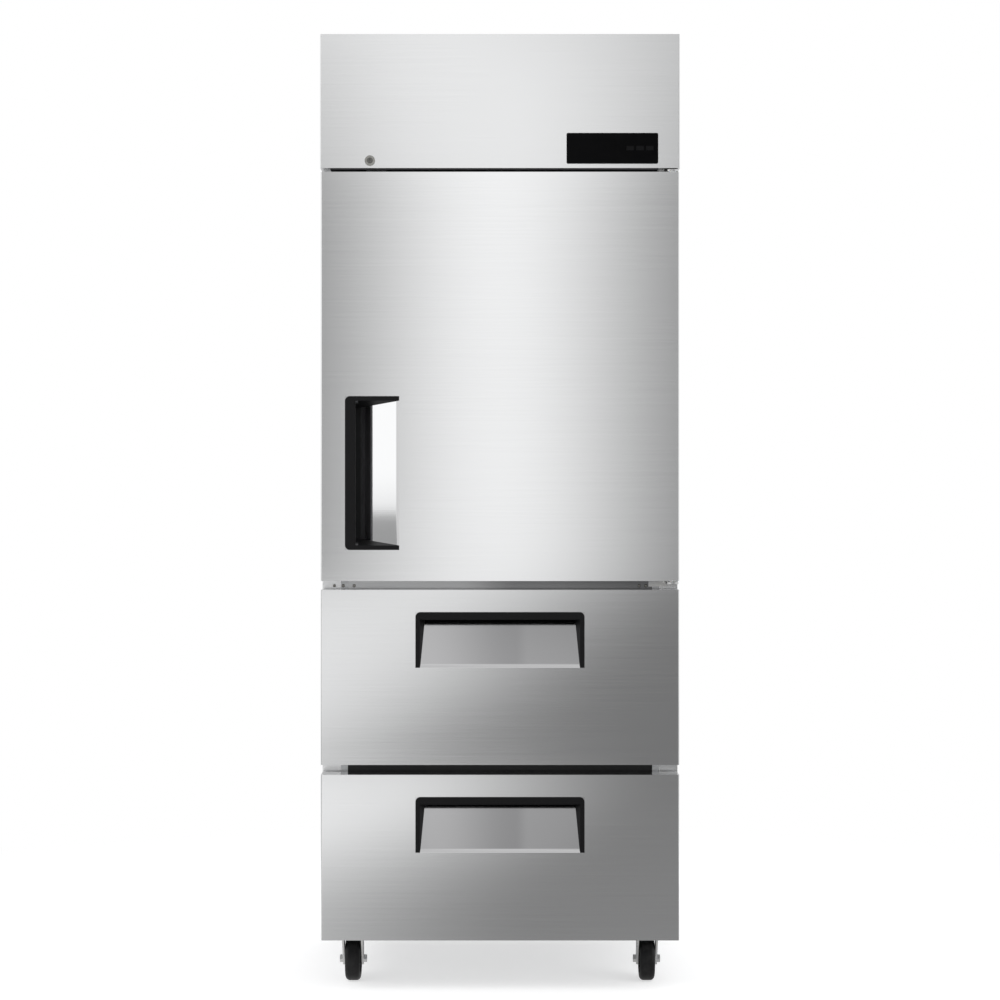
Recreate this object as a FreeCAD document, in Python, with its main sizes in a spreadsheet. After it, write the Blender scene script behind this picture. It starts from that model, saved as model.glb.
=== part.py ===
"""Single-section reach-in freezer: one half door over two drawers, a condensing unit on top, four casters.

Millimetres, +Z up. The origin is on the floor in the middle of the plan. The fronts face -Y.
"""

import FreeCAD
import Part
import Sketcher
import math
import os
from collections import namedtuple

SIZES = [
    ("overall_width", 730, "outside of the cabinet, left to right"),
    ("overall_depth", 805, "face of the door to the back panel"),
    ("caster_height", 125, "floor to the underside of the base pan"),
    ("front_edge_height", 112, "floor to the lower edge of the lower drawer front"),
    ("lower_drawer_height", 336, "front of the lower drawer"),
    ("drawer_reveal", 20, "gap between the two drawer fronts"),
    ("upper_drawer_height", 355, "front of the upper drawer"),
    ("door_reveal", 18, "gap between the upper drawer and the door"),
    ("door_height", 830, "door, edge to edge"),
    ("header_reveal", 8, "gap between the door and the header"),
    ("header_height", 272, "header panel, edge to edge"),
    ("header_setback", 3, "face of the header behind the face of the door"),
    ("side_reveal", 1.5, "door and drawer edges inside the cabinet sides"),
    ("panel_thickness", 60, "door and drawer fronts"),
    ("gasket_depth", 12, "space between a front and the face of the cabinet"),
    ("gasket_inset", 16, "edge of a front to its gasket"),
    ("gasket_width", 20, "gasket across its bellows"),
    ("gasket_clearance", 0.3, "gasket to the face of the cabinet"),
    ("gasket_round", 4, "rounding of the gasket's sealing side"),
    ("plug_inset", 44, "edge of a front to the raised plug of its inner panel"),
    ("plug_clearance", 1, "raised plug to the face of the cabinet"),
    ("sheet", 1.2, "outer sheet steel"),
    ("stile_fold", 38, "front folds of the side panels, pan and deck"),
    ("frame_depth", 20, "face frame behind the front folds"),
    ("side_wall", 52, "outside to liner, at the sides"),
    ("floor_wall", 60, "base pan to liner floor"),
    ("roof_wall", 60, "liner roof to machine deck"),
    ("back_wall", 60, "back panel to liner"),
    ("head_overlap", 45, "top edge of the door above the liner roof"),
    ("liner_sheet", 1, "liner sheet"),
    ("liner_corner", 18, "cove radius of the liner's long corners"),
    ("mullion_height", 84, "insulated bar between two openings"),
    ("mullion_depth", 50, "insulated bar, front to back"),
    ("mullion_edge", 3, "chamfer along the front of a mullion"),
    ("panel_round", 2.5, "bend radius of the upright edges of a front"),
    ("plug_corner", 12, "corner radius of the raised plug"),
    ("plug_round", 5, "rounding of the raised plug's back edges"),
    ("door_grip_lip", 21, "band of the door's grip that the fingers hook behind"),
    ("drawer_grip_lip", 16, "band of a drawer's grip that the fingers hook behind"),
    ("grip_lip_thickness", 6, "front wall of the grip"),
    ("grip_wall", 3, "wall of the grip against the recess"),
    ("grip_arm", 9, "arms of the grip, at the face"),
    ("grip_draft", 0.34, "how much an arm of the grip widens, as a share of its depth"),
    ("grip_corner", 10, "outer corners of the grip"),
    ("grip_edge", 2, "rounding of the edge behind which the fingers hook"),
    ("grip_step", 3, "depth of a recess behind the fold at its shallow end"),
    ("grip_fold", 5, "slanted fold at the shallow end of a recess"),
    ("door_grip_width", 110, "recess of the door, across the door"),
    ("door_grip_length", 312, "recess of the door, up the door"),
    ("door_grip_inset", 49, "free edge of the door to its recess"),
    ("door_grip_rise", 63, "lower edge of the door to its recess"),
    ("door_grip_backing", 8, "deep end of the door's recess to the back of the door"),
    ("drawer_grip_length", 343, "recess of a drawer, across the drawer"),
    ("drawer_grip_width", 113, "recess of a drawer, down the drawer"),
    ("drawer_grip_drop", 45, "upper edge of a drawer to its recess"),
    ("drawer_grip_depth", 32, "deep end of a drawer's recess"),
    ("hinge_inset", 15, "cabinet side to the hinge axis"),
    ("hinge_setback", 20, "face of the door to the hinge axis"),
    ("hinge_reach", 13, "bracket plate beyond the hinge axis"),
    ("hinge_plate", 4, "thickness of a hinge bracket"),
    ("hinge_flange", 58, "flange of a hinge bracket, across"),
    ("hinge_flange_drop", 11, "flange of a hinge bracket, past its plate"),
    ("hinge_gap", 2.5, "bracket plate to the edge of the door"),
    ("pin_radius", 5, "hinge pin"),
    ("pin_length", 26, "hinge pin inside the door"),
    ("bush_clearance", 0.05, "hinge pin in its bush, on the radius"),
    ("bush_radius", 9, "bush in the door"),
    ("bush_length", 28, "bush in the door"),
    ("bush_collar", 12, "collar of a bush, radius"),
    ("bush_float", 0.3, "collar of a bush to its bracket"),
    ("lock_inset", 101, "cabinet side to the lock"),
    ("lock_rise", 15, "lower edge of the header to the lock"),
    ("lock_flange", 10.5, "face of the lock, radius"),
    ("lock_proud", 2, "face of the lock before the header"),
    ("lock_sleeve", 8, "sleeve of the lock, radius"),
    ("lock_depth", 22, "sleeve of the lock behind the header face"),
    ("lock_nut", 12, "nut of the lock, radius"),
    ("lock_nut_depth", 4, "nut of the lock"),
    ("barrel_radius", 6, "barrel of the lock"),
    ("barrel_clearance", 0.05, "barrel in its sleeve, on the radius"),
    ("keyway_width", 1.8, "keyway in the barrel"),
    ("keyway_depth", 4, "keyway in the barrel"),
    ("tongue_reach", 28, "tongue of the lock, from its axis"),
    ("tongue_width", 12, "tongue of the lock"),
    ("tongue_thickness", 2.5, "tongue of the lock"),
    ("tongue_float", 0.4, "tongue behind the sleeve"),
    ("tongue_slack", 2, "slots round the tongue"),
    ("controller_width", 186, "bezel of the controller"),
    ("controller_height", 62, "bezel of the controller"),
    ("controller_inset", 44, "cabinet side to the bezel"),
    ("controller_rise", 9, "lower edge of the header to the bezel"),
    ("controller_corner", 3, "corner radius of the bezel"),
    ("bezel_thickness", 2, "bezel before the header face"),
    ("bezel_margin", 7, "bezel beyond the controller's case"),
    ("controller_depth", 30, "case of the controller behind the header face"),
    ("display_width", 92, "sunk display window"),
    ("display_height", 36, "sunk display window"),
    ("display_sink", 0.6, "depth of the display window"),
    ("key_width", 15, "controller key"),
    ("key_height", 9, "controller key"),
    ("key_pitch", 20, "controller key to the next one"),
    ("key_proud", 0.8, "controller key before the bezel"),
    ("key_depth", 4, "controller key behind the bezel's face"),
    ("key_room", 7, "well behind each key"),
    ("key_clearance", 0.2, "controller key in its well"),
    ("rail_steel", 1.5, "sheet of the drawer rails"),
    ("rail_height", 46, "outer drawer rail"),
    ("rail_gap", 0.8, "room for the balls between two rails"),
    ("rail_width", 12, "flanges of the outer and middle rails"),
    ("rail_length", 560, "drawer rails"),
    ("rail_setback", 30, "face of the cabinet to the drawer rails"),
    ("slide_width", 15, "liner wall to the side of a drawer tub"),
    ("rail_rise", 52, "floor of a tub to the middle of its rails"),
    ("tub_sheet", 1.2, "sheet of the drawer tubs"),
    ("tub_corner", 14, "upright corners of a drawer tub"),
    ("tub_depth", 570, "drawer tub, front to back"),
    ("tub_lift", 18, "tub above the sill of its opening"),
    ("lower_tub_height", 165, "tub of the lower drawer"),
    ("upper_tub_height", 190, "tub of the upper drawer"),
    ("tub_lip", 8, "lips folded out along the sides of a tub"),
    ("pilaster_width", 18, "shelf upright, front to back"),
    ("pilaster_depth", 8, "shelf upright, off the wall"),
    ("pilaster_steel", 1.5, "sheet of the shelf uprights"),
    ("pilaster_length", 540, "shelf upright"),
    ("pilaster_lift", 14, "shelf upright above the upper mullion"),
    ("pilaster_setback", 75, "face of the cabinet to the front uprights"),
    ("pilaster_spread", 440, "front uprights to the rear ones"),
    ("slot_width", 8, "slots in the shelf uprights"),
    ("slot_height", 4, "slots in the shelf uprights"),
    ("slot_pitch", 45, "slot to the next slot"),
    ("clip_reach", 15, "clips that carry the shelves"),
    ("clip_drop", 16, "leg of a clip on its upright"),
    ("clip_steel", 2, "sheet of the clips"),
    ("clip_width", 12, "clips, front to back"),
    ("lower_shelf_rise", 45, "foot of the uprights to the lower shelf"),
    ("upper_shelf_rise", 315, "foot of the uprights to the upper shelf"),
    ("shelf_side_gap", 4, "shelf to the uprights"),
    ("shelf_setback", 45, "face of the cabinet to the shelves"),
    ("shelf_back_gap", 68, "shelves to the back of the liner"),
    ("side_rod_radius", 4, "side rods of a shelf"),
    ("rod_radius", 3, "cross rods of a shelf"),
    ("wire_overhang", 5, "side rods and wires past the outer cross rods"),
    ("wire_radius", 2.2, "wires of a shelf"),
    ("wire_pitch", 37, "wire to the next wire"),
    ("wire_sink", 1.2, "wires welded into the rods"),
    ("evaporator_half", 272, "evaporator cover, from the middle to its side"),
    ("evaporator_height", 150, "evaporator cover below the liner roof"),
    ("evaporator_depth", 400, "evaporator cover, front to back"),
    ("evaporator_gap", 25, "evaporator cover to the back of the liner"),
    ("cover_sheet", 1.2, "sheet of the evaporator cover"),
    ("cover_slope", 30, "slanted lower front of the evaporator cover"),
    ("grille_slot", 8, "return slots under the evaporator cover"),
    ("grille_pitch", 22, "return slot to the next slot"),
    ("grille_length", 150, "return slots, front to back"),
    ("coil_half", 225, "evaporator coil, from the middle to its side"),
    ("coil_depth", 150, "evaporator coil, front to back"),
    ("coil_height", 112, "evaporator coil"),
    ("coil_gap", 22, "evaporator coil to the back of its cover"),
    ("small_fan_radius", 50, "evaporator fan"),
    ("large_fan_radius", 92, "condenser fan"),
    ("fan_tip_gap", 5, "fan to its ring"),
    ("fan_hub", 0.28, "hub of a fan as a share of its radius"),
    ("fan_depth", 22, "hub of a fan, front to back"),
    ("blade_chord", 46, "fan blade across, at its tip"),
    ("blade_rise", 16, "fan blade, edge to edge along the axis"),
    ("blade_sheet", 1.8, "fan blade"),
    ("shaft_radius", 4, "fan shaft"),
    ("shaft_clearance", 0.05, "fan shaft in its hub, on the radius"),
    ("motor_radius", 30, "fan motor"),
    ("motor_length", 55, "fan motor"),
    ("motor_gap", 6, "fan to its motor"),
    ("strap_width", 16, "strap that carries a fan motor"),
    ("strap_steel", 3, "strap that carries a fan motor"),
    ("ring_lip", 16, "ring round a fan"),
    ("condenser_inset", 42, "cabinet side to the condenser"),
    ("condenser_setback", 24, "front folds to the condenser"),
    ("condenser_width", 360, "condenser"),
    ("condenser_height", 212, "condenser"),
    ("condenser_depth", 46, "condenser, front to back"),
    ("tube_sheet", 1.5, "end plates of the condenser"),
    ("tube_sheet_rim", 5, "end plates of the condenser beyond its fins"),
    ("bend_radius", 4.8, "return bends of the condenser, radius of the tube"),
    ("bend_pitch", 25, "tube of the condenser to the next tube"),
    ("shroud_depth", 34, "shroud behind the condenser"),
    ("compressor_inset", 148, "cabinet side to the middle of the compressor"),
    ("compressor_setback", 395, "face of the cabinet to the middle of the compressor"),
    ("compressor_radius", 86, "shell of the compressor"),
    ("compressor_height", 186, "compressor over its feet"),
    ("compressor_dome", 42, "rounding of the compressor's top"),
    ("compressor_bowl", 22, "rounding of the compressor's foot"),
    ("seam_height", 7, "welded seam round the compressor"),
    ("seam_width", 4, "welded seam beyond the shell"),
    ("foot_spread", 78, "middle of the compressor to a foot"),
    ("foot_radius", 11, "rubber feet of the compressor"),
    ("foot_height", 14, "rubber feet of the compressor"),
    ("foot_plate", 3, "plate under the compressor's shell"),
    ("terminal_width", 58, "terminal box of the compressor"),
    ("terminal_height", 64, "terminal box of the compressor"),
    ("terminal_reach", 26, "terminal box beyond the shell"),
    ("stub_reach", 12, "tube stubs of the compressor above its top"),
    ("stub_spread", 34, "middle of the compressor to its tube stubs"),
    ("line_radius", 4, "discharge and liquid lines"),
    ("suction_radius", 6, "suction line"),
    ("line_bend", 16, "bends of the refrigerant lines"),
    ("line_rise", 22, "refrigerant lines above the compressor's stubs"),
    ("drier_radius", 10, "filter drier"),
    ("drier_length", 95, "filter drier"),
    ("drier_neck", 14, "tapered ends of the filter drier"),
    ("power_box_gap", 12, "electrical box to the side panel"),
    ("power_box_width", 176, "electrical box"),
    ("power_box_depth", 92, "electrical box"),
    ("power_box_height", 104, "electrical box"),
    ("power_box_lid", 12, "lid of the electrical box"),
    ("power_box_edge", 2, "lid of the electrical box beyond its sides"),
    ("guard_setback", 14, "back panel to the rear guard"),
    ("guard_drop", 24, "top of the sides to the top of the rear guard"),
    ("louver_width", 190, "louvers of the rear guard"),
    ("louver_height", 8, "louvers of the rear guard"),
    ("louver_pitch", 21, "louver to the next louver"),
    ("louver_gap", 26, "row of louvers to the next row"),
    ("louver_foot", 62, "foot of the rear guard to its louvers"),
    ("gland_inset", 70, "cabinet side to the cord gland"),
    ("gland_rise", 32, "foot of the rear guard to the cord gland"),
    ("gland_radius", 10, "thread of the cord gland"),
    ("gland_nut", 15, "nuts of the cord gland, radius"),
    ("gland_nut_depth", 7, "nuts of the cord gland"),
    ("gland_bore", 5.5, "bore of the cord gland, radius"),
    ("wheel_radius", 45, "caster wheel"),
    ("wheel_width", 32, "tread of a caster wheel"),
    ("wheel_round", 9, "rounding of the tread"),
    ("wheel_rim", 12, "tread over the wheel's disc"),
    ("wheel_disc", 16, "disc of a caster wheel"),
    ("wheel_hub", 14, "hub of a caster wheel, radius"),
    ("hub_float", 0.3, "hub of a wheel to its fork"),
    ("axle_radius", 5, "axle of a caster"),
    ("axle_clearance", 0.05, "axle in its wheel, on the radius"),
    ("axle_head", 8.5, "head and nut of an axle, radius"),
    ("axle_head_depth", 6.5, "head and nut of an axle"),
    ("wheel_side_gap", 1.7, "tread of a wheel to the legs of its fork"),
    ("fork_steel", 4, "legs of a caster fork"),
    ("fork_crown", 5, "crown of a caster fork"),
    ("fork_half", 26, "crown of a caster fork, from its middle to its front"),
    ("fork_foot", 12, "foot of a fork leg round the axle"),
    ("caster_trail", 28, "swivel axis to the axle"),
    ("caster_inset", 58, "cabinet side to the swivel axis"),
    ("front_caster_setback", 68, "face of the cabinet to the front swivel axes"),
    ("rear_caster_inset", 92, "back panel to the rear swivel axes"),
    ("caster_plate_width", 88, "top plate of a caster"),
    ("caster_plate_depth", 72, "top plate of a caster"),
    ("caster_plate_steel", 4, "top plate of a caster"),
    ("caster_plate_corner", 8, "corners of a caster's top plate"),
    ("race_radius", 25, "ball race of a caster"),
    ("race_height", 10, "ball race of a caster"),
    ("swivel_float", 0.3, "fork to its ball race and kingpin"),
    ("kingpin_radius", 6, "kingpin of a caster"),
    ("kingpin_clearance", 0.05, "kingpin in its fork, on the radius"),
    ("kingpin_head", 11, "head of the kingpin, radius"),
    ("kingpin_head_depth", 3, "head of the kingpin"),
]

doc = FreeCAD.newDocument("reach_in_freezer")
sheet = doc.addObject("Spreadsheet::Sheet", "sizes")
for row, (alias, value, note) in enumerate(SIZES, 1):
    sheet.set(f"A{row}", note)
    sheet.set(f"B{row}", str(value))
    sheet.setAlias(f"B{row}", alias)
doc.recompute()


class Size:
    """A length that knows both its number and the formula that gives it from the sheet."""

    def __init__(self, formula, value):
        self.formula = formula
        self.value = value

    def joined(self, other, sign, value, swapped=False):
        mine, theirs = self.formula, formula_of(other)
        first, second = (theirs, mine) if swapped else (mine, theirs)
        return Size(f"({first} {sign} {second})", value)

    def __add__(self, other):
        return self.joined(other, "+", self.value + number(other))

    def __radd__(self, other):
        return self.joined(other, "+", number(other) + self.value, True)

    def __sub__(self, other):
        return self.joined(other, "-", self.value - number(other))

    def __rsub__(self, other):
        return self.joined(other, "-", number(other) - self.value, True)

    def __mul__(self, other):
        return self.joined(other, "*", self.value * number(other))

    def __rmul__(self, other):
        return self.joined(other, "*", number(other) * self.value, True)

    def __truediv__(self, other):
        return self.joined(other, "/", self.value / number(other))

    def __neg__(self):
        return Size(f"(-{self.formula})", -self.value)


def number(size):
    return size.value if isinstance(size, Size) else size


def formula_of(size):
    return size.formula if isinstance(size, Size) else str(size)


class Dimensions:
    """The sheet's cells by name."""

    def __init__(self):
        for alias, _, _ in SIZES:
            setattr(self, alias, Size(f"sizes.{alias}", float(sheet.get(alias))))


dim = Dimensions()
Circle = namedtuple("Circle", "a b radius")
RoundedRect = namedtuple("RoundedRect", "a0 b0 a1 b1 radius")


def bind(item, setting, size):
    item.setExpression(setting, formula_of(size))


def rect(a0, b0, a1, b1):
    return [(a0, b0), (a1, b0), (a1, b1), (a0, b1)]


def new_body(label):
    return doc.addObject("PartDesign::Body", label)


def outline(body, name, plane, level, loops):
    """Closed loops on one of the body's own planes, at a level along X, Y or Z; every corner follows the sheet."""
    drawing = body.newObject("Sketcher::SketchObject", name)
    own_plane = next(item for item in body.Origin.OriginFeatures if item.Role == plane + "_Plane")
    drawing.AttachmentSupport = [(own_plane, "")]
    drawing.MapMode = "FlatFace"
    bind(drawing, ".AttachmentOffset.Base.z", -level if plane == "XZ" else level)
    for loop in loops:
        if isinstance(loop, Circle):
            draw_circle(drawing, loop)
        elif isinstance(loop, RoundedRect):
            draw_rounded_rect(drawing, loop)
        else:
            draw_polygon(drawing, loop)
    return drawing


def draw_circle(drawing, circle):
    centre = FreeCAD.Vector(number(circle.a), number(circle.b), 0)
    edge = drawing.addGeometry(Part.Circle(centre, FreeCAD.Vector(0, 0, 1), number(circle.radius)))
    hold_point(drawing, edge, 3, circle.a, circle.b)
    held = drawing.addConstraint(Sketcher.Constraint("Radius", edge, number(circle.radius)))
    bind(drawing, f"Constraints[{held}]", circle.radius)


def draw_rounded_rect(drawing, loop):
    """Four corner arcs held by centre and radius, joined by tangent lines."""
    radius = loop.radius
    centres = rect(loop.a0 + radius, loop.b0 + radius, loop.a1 - radius, loop.b1 - radius)
    arcs = []
    for quarter, (a, b) in enumerate(centres):
        middle = FreeCAD.Vector(number(a), number(b), 0)
        circle = Part.Circle(middle, FreeCAD.Vector(0, 0, 1), number(radius))
        first = math.pi + quarter * math.pi / 2
        arcs.append(drawing.addGeometry(Part.ArcOfCircle(circle, first, first + math.pi / 2)))
        hold_point(drawing, arcs[-1], 3, a, b)
        held = drawing.addConstraint(Sketcher.Constraint("Radius", arcs[-1], number(radius)))
        bind(drawing, f"Constraints[{held}]", radius)
    for arc, following in zip(arcs, arcs[1:] + arcs[:1]):
        start = drawing.getPoint(arc, 2)
        end = drawing.getPoint(following, 1)
        side = drawing.addGeometry(Part.LineSegment(start, end))
        drawing.addConstraint(Sketcher.Constraint("Tangent", arc, 2, side, 1))
        drawing.addConstraint(Sketcher.Constraint("Tangent", side, 2, following, 1))


def draw_polygon(drawing, corners):
    points = [FreeCAD.Vector(number(a), number(b), 0) for a, b in corners]
    edges = []
    for start, end in zip(points, points[1:] + points[:1]):
        edges.append(drawing.addGeometry(Part.LineSegment(start, end)))
    for edge, following in zip(edges, edges[1:] + edges[:1]):
        drawing.addConstraint(Sketcher.Constraint("Coincident", edge, 2, following, 1))
    for edge, (a, b) in zip(edges, corners):
        hold_point(drawing, edge, 1, a, b)


def hold_point(drawing, edge, end, a, b):
    """Hold one point of the sketch at its two distances from the sketch's origin."""
    for kind, size in (("DistanceX", a), ("DistanceY", b)):
        held = drawing.addConstraint(Sketcher.Constraint(kind, -1, 1, edge, end, number(size)))
        bind(drawing, f"Constraints[{held}]", size)


def in_order(start, end):
    return (start, end) if number(start) <= number(end) else (end, start)


def pad(body, name, plane, start, end, *loops):
    """Add the loops, drawn out from one level to another along the plane's normal."""
    start, end = in_order(start, end)
    feature = body.newObject("PartDesign::Pad", name)
    feature.Profile = outline(body, name + "_outline", plane, start, loops)
    bind(feature, "Length", end - start)
    feature.Reversed = plane == "XZ"
    return feature


def pocket(body, name, plane, start, end, *loops):
    """Cut the loops away, from one level to another along the plane's normal."""
    start, end = in_order(start, end)
    feature = body.newObject("PartDesign::Pocket", name)
    feature.Profile = outline(body, name + "_outline", plane, start, loops)
    bind(feature, "Length", end - start)
    feature.Reversed = plane != "XZ"
    return feature


def rounded(body, name, radius, chosen):
    """Round the edges of the body that the test picks."""
    return dressed(body, "PartDesign::Fillet", name, "Radius", radius, chosen)


def chamfered(body, name, size, chosen):
    return dressed(body, "PartDesign::Chamfer", name, "Size", size, chosen)


def dressed(body, kind, name, setting, size, chosen):
    doc.recompute()
    base = body.Tip
    edges = [f"Edge{i}" for i, edge in enumerate(base.Shape.Edges, 1) if chosen(edge)]
    feature = body.newObject(kind, name)
    feature.Base = (base, edges)
    bind(feature, setting, size)
    return feature


AXES = {"X": FreeCAD.Vector(1, 0, 0), "Y": FreeCAD.Vector(0, 1, 0), "Z": FreeCAD.Vector(0, 0, 1)}


def runs_along(edge, axis):
    """Whether a straight edge is parallel to an axis."""
    if edge.Curve.TypeId != "Part::GeomLine":
        return False
    return abs(edge.Curve.Direction.dot(AXES[axis])) > 0.999


def near(value, size):
    return abs(value - number(size)) < 0.05


def mirrored(item, label):
    """The same piece on the other side of the cabinet."""
    copy = doc.addObject("Part::Mirroring", label)
    copy.Source = item
    copy.Normal = AXES["X"]
    return copy


def group(label, *items):
    """Like pieces that share one node, each a solid of its own."""
    compound = doc.addObject("Part::Compound", label)
    compound.Links = list(items)
    return compound


nodes = []


def keep(item):
    nodes.append(item)
    return item


# Planes and levels that the pieces share
half_width = dim.overall_width / 2
front = -dim.overall_depth / 2
rear = dim.overall_depth / 2
panel_back = front + dim.panel_thickness
frame_face = panel_back + dim.gasket_depth
fold_back = frame_face + dim.sheet
frame_back = fold_back + dim.frame_depth
header_face = front + dim.header_setback

lower_drawer_foot = dim.front_edge_height
lower_drawer_head = lower_drawer_foot + dim.lower_drawer_height
upper_drawer_foot = lower_drawer_head + dim.drawer_reveal
upper_drawer_head = upper_drawer_foot + dim.upper_drawer_height
door_foot = upper_drawer_head + dim.door_reveal
door_head = door_foot + dim.door_height
header_foot = door_head + dim.header_reveal
header_head = header_foot + dim.header_height

shell_half = half_width - dim.sheet
pan_top = dim.caster_height + dim.sheet
inner_half = half_width - dim.side_wall
liner_floor = dim.caster_height + dim.floor_wall
liner_roof = door_head - dim.head_overlap
liner_back = rear - dim.back_wall
deck = liner_roof + dim.roof_wall
deck_top = deck + dim.sheet
lower_mullion_middle = lower_drawer_head + dim.drawer_reveal / 2
upper_mullion_middle = upper_drawer_head + dim.door_reveal / 2


def side_panels():
    """Outer side sheets, each folded in at the front to make the stile that the gaskets close on."""
    left = new_body("left_side_panel")
    folded_sheet = [
        (-half_width, frame_face),
        (-half_width + dim.stile_fold, frame_face),
        (-half_width + dim.stile_fold, fold_back),
        (-shell_half, fold_back),
        (-shell_half, rear),
        (-half_width, rear),
    ]
    pad(left, "left_side_sheet", "XY", dim.caster_height, header_head, folded_sheet)
    right = mirrored(left, "right_side_panel")
    return group("side_panels", left, right)


def base_pan():
    """Floor sheet that the casters bolt to, with its front edge folded up."""
    pan = new_body("base_pan")
    fold_half = half_width - dim.stile_fold
    pad(pan, "pan_sheet", "XY", dim.caster_height, pan_top, rect(-shell_half, fold_back, shell_half, rear))
    fold = rect(-fold_half, dim.caster_height, fold_half, dim.caster_height + dim.stile_fold)
    pad(pan, "pan_fold", "XZ", frame_face, fold_back, fold)
    return pan


def machine_deck():
    """Roof sheet of the insulated box, with its front edge folded down; the condensing unit stands on it."""
    plate = new_body("machine_deck")
    fold_half = half_width - dim.stile_fold
    pad(plate, "deck_sheet", "XY", deck, deck_top, rect(-shell_half, fold_back, shell_half, rear - dim.sheet))
    pad(plate, "deck_fold", "XZ", frame_face, fold_back, rect(-fold_half, deck_top - dim.stile_fold, fold_half, deck_top))
    return plate


def back_panel():
    panel = new_body("back_panel")
    pad(panel, "back_sheet", "XZ", rear - dim.sheet, rear, rect(-shell_half, pan_top, shell_half, deck_top))
    return panel


def coved_box(margin):
    """Outline of the liner's hollow, let out by a margin."""
    return RoundedRect(
        -inner_half - margin,
        liner_floor - margin,
        inner_half + margin,
        liner_roof + margin,
        dim.liner_corner + margin,
    )


def cabinet_foam():
    """Insulation foamed in place between the shell and the liner."""
    foam = new_body("cabinet_foam")
    pad(foam, "foam_block", "XZ", frame_back, rear - dim.sheet, rect(-shell_half, pan_top, shell_half, deck))
    pocket(foam, "foam_cavity", "XZ", frame_back, liner_back + dim.liner_sheet, coved_box(dim.liner_sheet))
    return foam


def cabinet_liner():
    """Inner box of the freezer, open at the front, with coved corners."""
    liner = new_body("cabinet_liner")
    pad(liner, "liner_block", "XZ", frame_back, liner_back + dim.liner_sheet, coved_box(dim.liner_sheet))
    pocket(liner, "liner_hollow", "XZ", frame_back, liner_back, coved_box(0))
    return liner


def face_frame():
    """Thermal break behind the front folds, joining them to the liner."""
    frame = new_body("face_frame")
    outside = rect(-shell_half, pan_top, shell_half, deck)
    pad(frame, "frame_ring", "XZ", fold_back, frame_back, outside, coved_box(0))
    return frame


def mullion(label, middle):
    """Insulated bar across the opening, which two gaskets close on."""
    bar = new_body(label)
    reach = dim.mullion_height / 2
    pad(
        bar,
        label + "_bar",
        "XZ",
        frame_face,
        frame_face + dim.mullion_depth,
        rect(-inner_half, middle - reach, inner_half, middle + reach),
    )
    chamfered(
        bar,
        label + "_edges",
        dim.mullion_edge,
        lambda edge: runs_along(edge, "X") and near(edge.CenterOfMass.y, frame_face),
    )
    return bar


Recess = namedtuple("Recess", "upright spine mouth low high depth lip")
panel_half = half_width - dim.side_reveal
plug_back = frame_face - dim.plug_clearance
door_recess = Recess(
    True,
    -panel_half + dim.door_grip_inset,
    -panel_half + dim.door_grip_inset + dim.door_grip_width,
    door_foot + dim.door_grip_rise,
    door_foot + dim.door_grip_rise + dim.door_grip_length,
    dim.panel_thickness - dim.door_grip_backing,
    dim.door_grip_lip,
)


def drawer_recess(head):
    """The drawers' recesses lie level: deep at the top, where the grip is, and shallow below."""
    spine = head - dim.drawer_grip_drop
    mouth = spine - dim.drawer_grip_width
    half_length = dim.drawer_grip_length / 2
    return Recess(False, spine, mouth, -half_length, half_length, dim.drawer_grip_depth, dim.drawer_grip_lip)


def from_spine(recess, distance):
    """The place at a distance from the deep end of a recess towards its mouth."""
    return recess.spine + distance if recess.upright else recess.spine - distance


def slope_section(recess, points):
    """The plane across a recess's slope, and points given as (across, depth) on it."""
    if recess.upright:
        return "XY", [(across, front + depth) for across, depth in points]
    return "YZ", [(front + depth, across) for across, depth in points]


def throat_section(recess, points):
    """The plane along a recess's grip, and points given as (along, depth) on it."""
    if recess.upright:
        return "YZ", [(front + depth, along) for along, depth in points]
    return "XY", [(along, front + depth) for along, depth in points]


def face_outline(recess):
    if recess.upright:
        return rect(recess.spine, recess.low, recess.mouth, recess.high)
    return rect(recess.low, recess.mouth, recess.high, recess.spine)


def wedge(recess, margin):
    """Section of the hollow behind a grip, from the fold at its mouth down to its deep end, let out by a margin."""
    spine = from_spine(recess, -margin)
    corners = [(mouth_end(recess, margin), 0), (fold_end(recess, margin), dim.grip_step + margin)]
    return slope_section(recess, corners + [(spine, recess.depth + margin), (spine, 0)])


def mouth_end(recess, margin):
    """The place where a recess starts in the face of its front, let out by a margin."""
    return recess.mouth + margin if recess.upright else recess.mouth - margin


def fold_end(recess, margin):
    """The place where the fold at the mouth of a recess meets its slope, let out by a margin."""
    mouth = mouth_end(recess, margin)
    return mouth - dim.grip_fold if recess.upright else mouth + dim.grip_fold


def spine_corner(recess, edge):
    """Whether an edge is one of the two corners, square to the face, at the deep end of a recess."""
    if not runs_along(edge, "Y"):
        return False
    middle = edge.CenterOfMass
    across, along = (middle.x, middle.z) if recess.upright else (middle.z, middle.x)
    return near(across, recess.spine) and (near(along, recess.low) or near(along, recess.high))


def panel_skin(name, foot, head, recess):
    """Folded front sheet of a door or drawer, with the pan of its grip drawn into it."""
    skin = new_body(name + "_skin")
    inset = dim.sheet
    tray = rect(-panel_half + inset, foot + inset, panel_half - inset, head - inset)
    pad(skin, name + "_sheet", "XZ", front, panel_back, rect(-panel_half, foot, panel_half, head))
    rounded(
        skin,
        name + "_bends",
        dim.panel_round,
        lambda edge: runs_along(edge, "Z") and near(edge.CenterOfMass.y, front),
    )
    pocket(skin, name + "_tray", "XZ", front + inset, panel_back, tray)
    plane, outside = wedge(recess, inset)
    pad(skin, name + "_recess_pan", plane, recess.low - inset, recess.high + inset, outside)
    plane, inside = wedge(recess, 0)
    pocket(skin, name + "_recess", plane, recess.low, recess.high, inside)
    rounded(skin, name + "_recess_corners", dim.grip_corner, lambda edge: spine_corner(recess, edge))
    return skin


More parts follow.
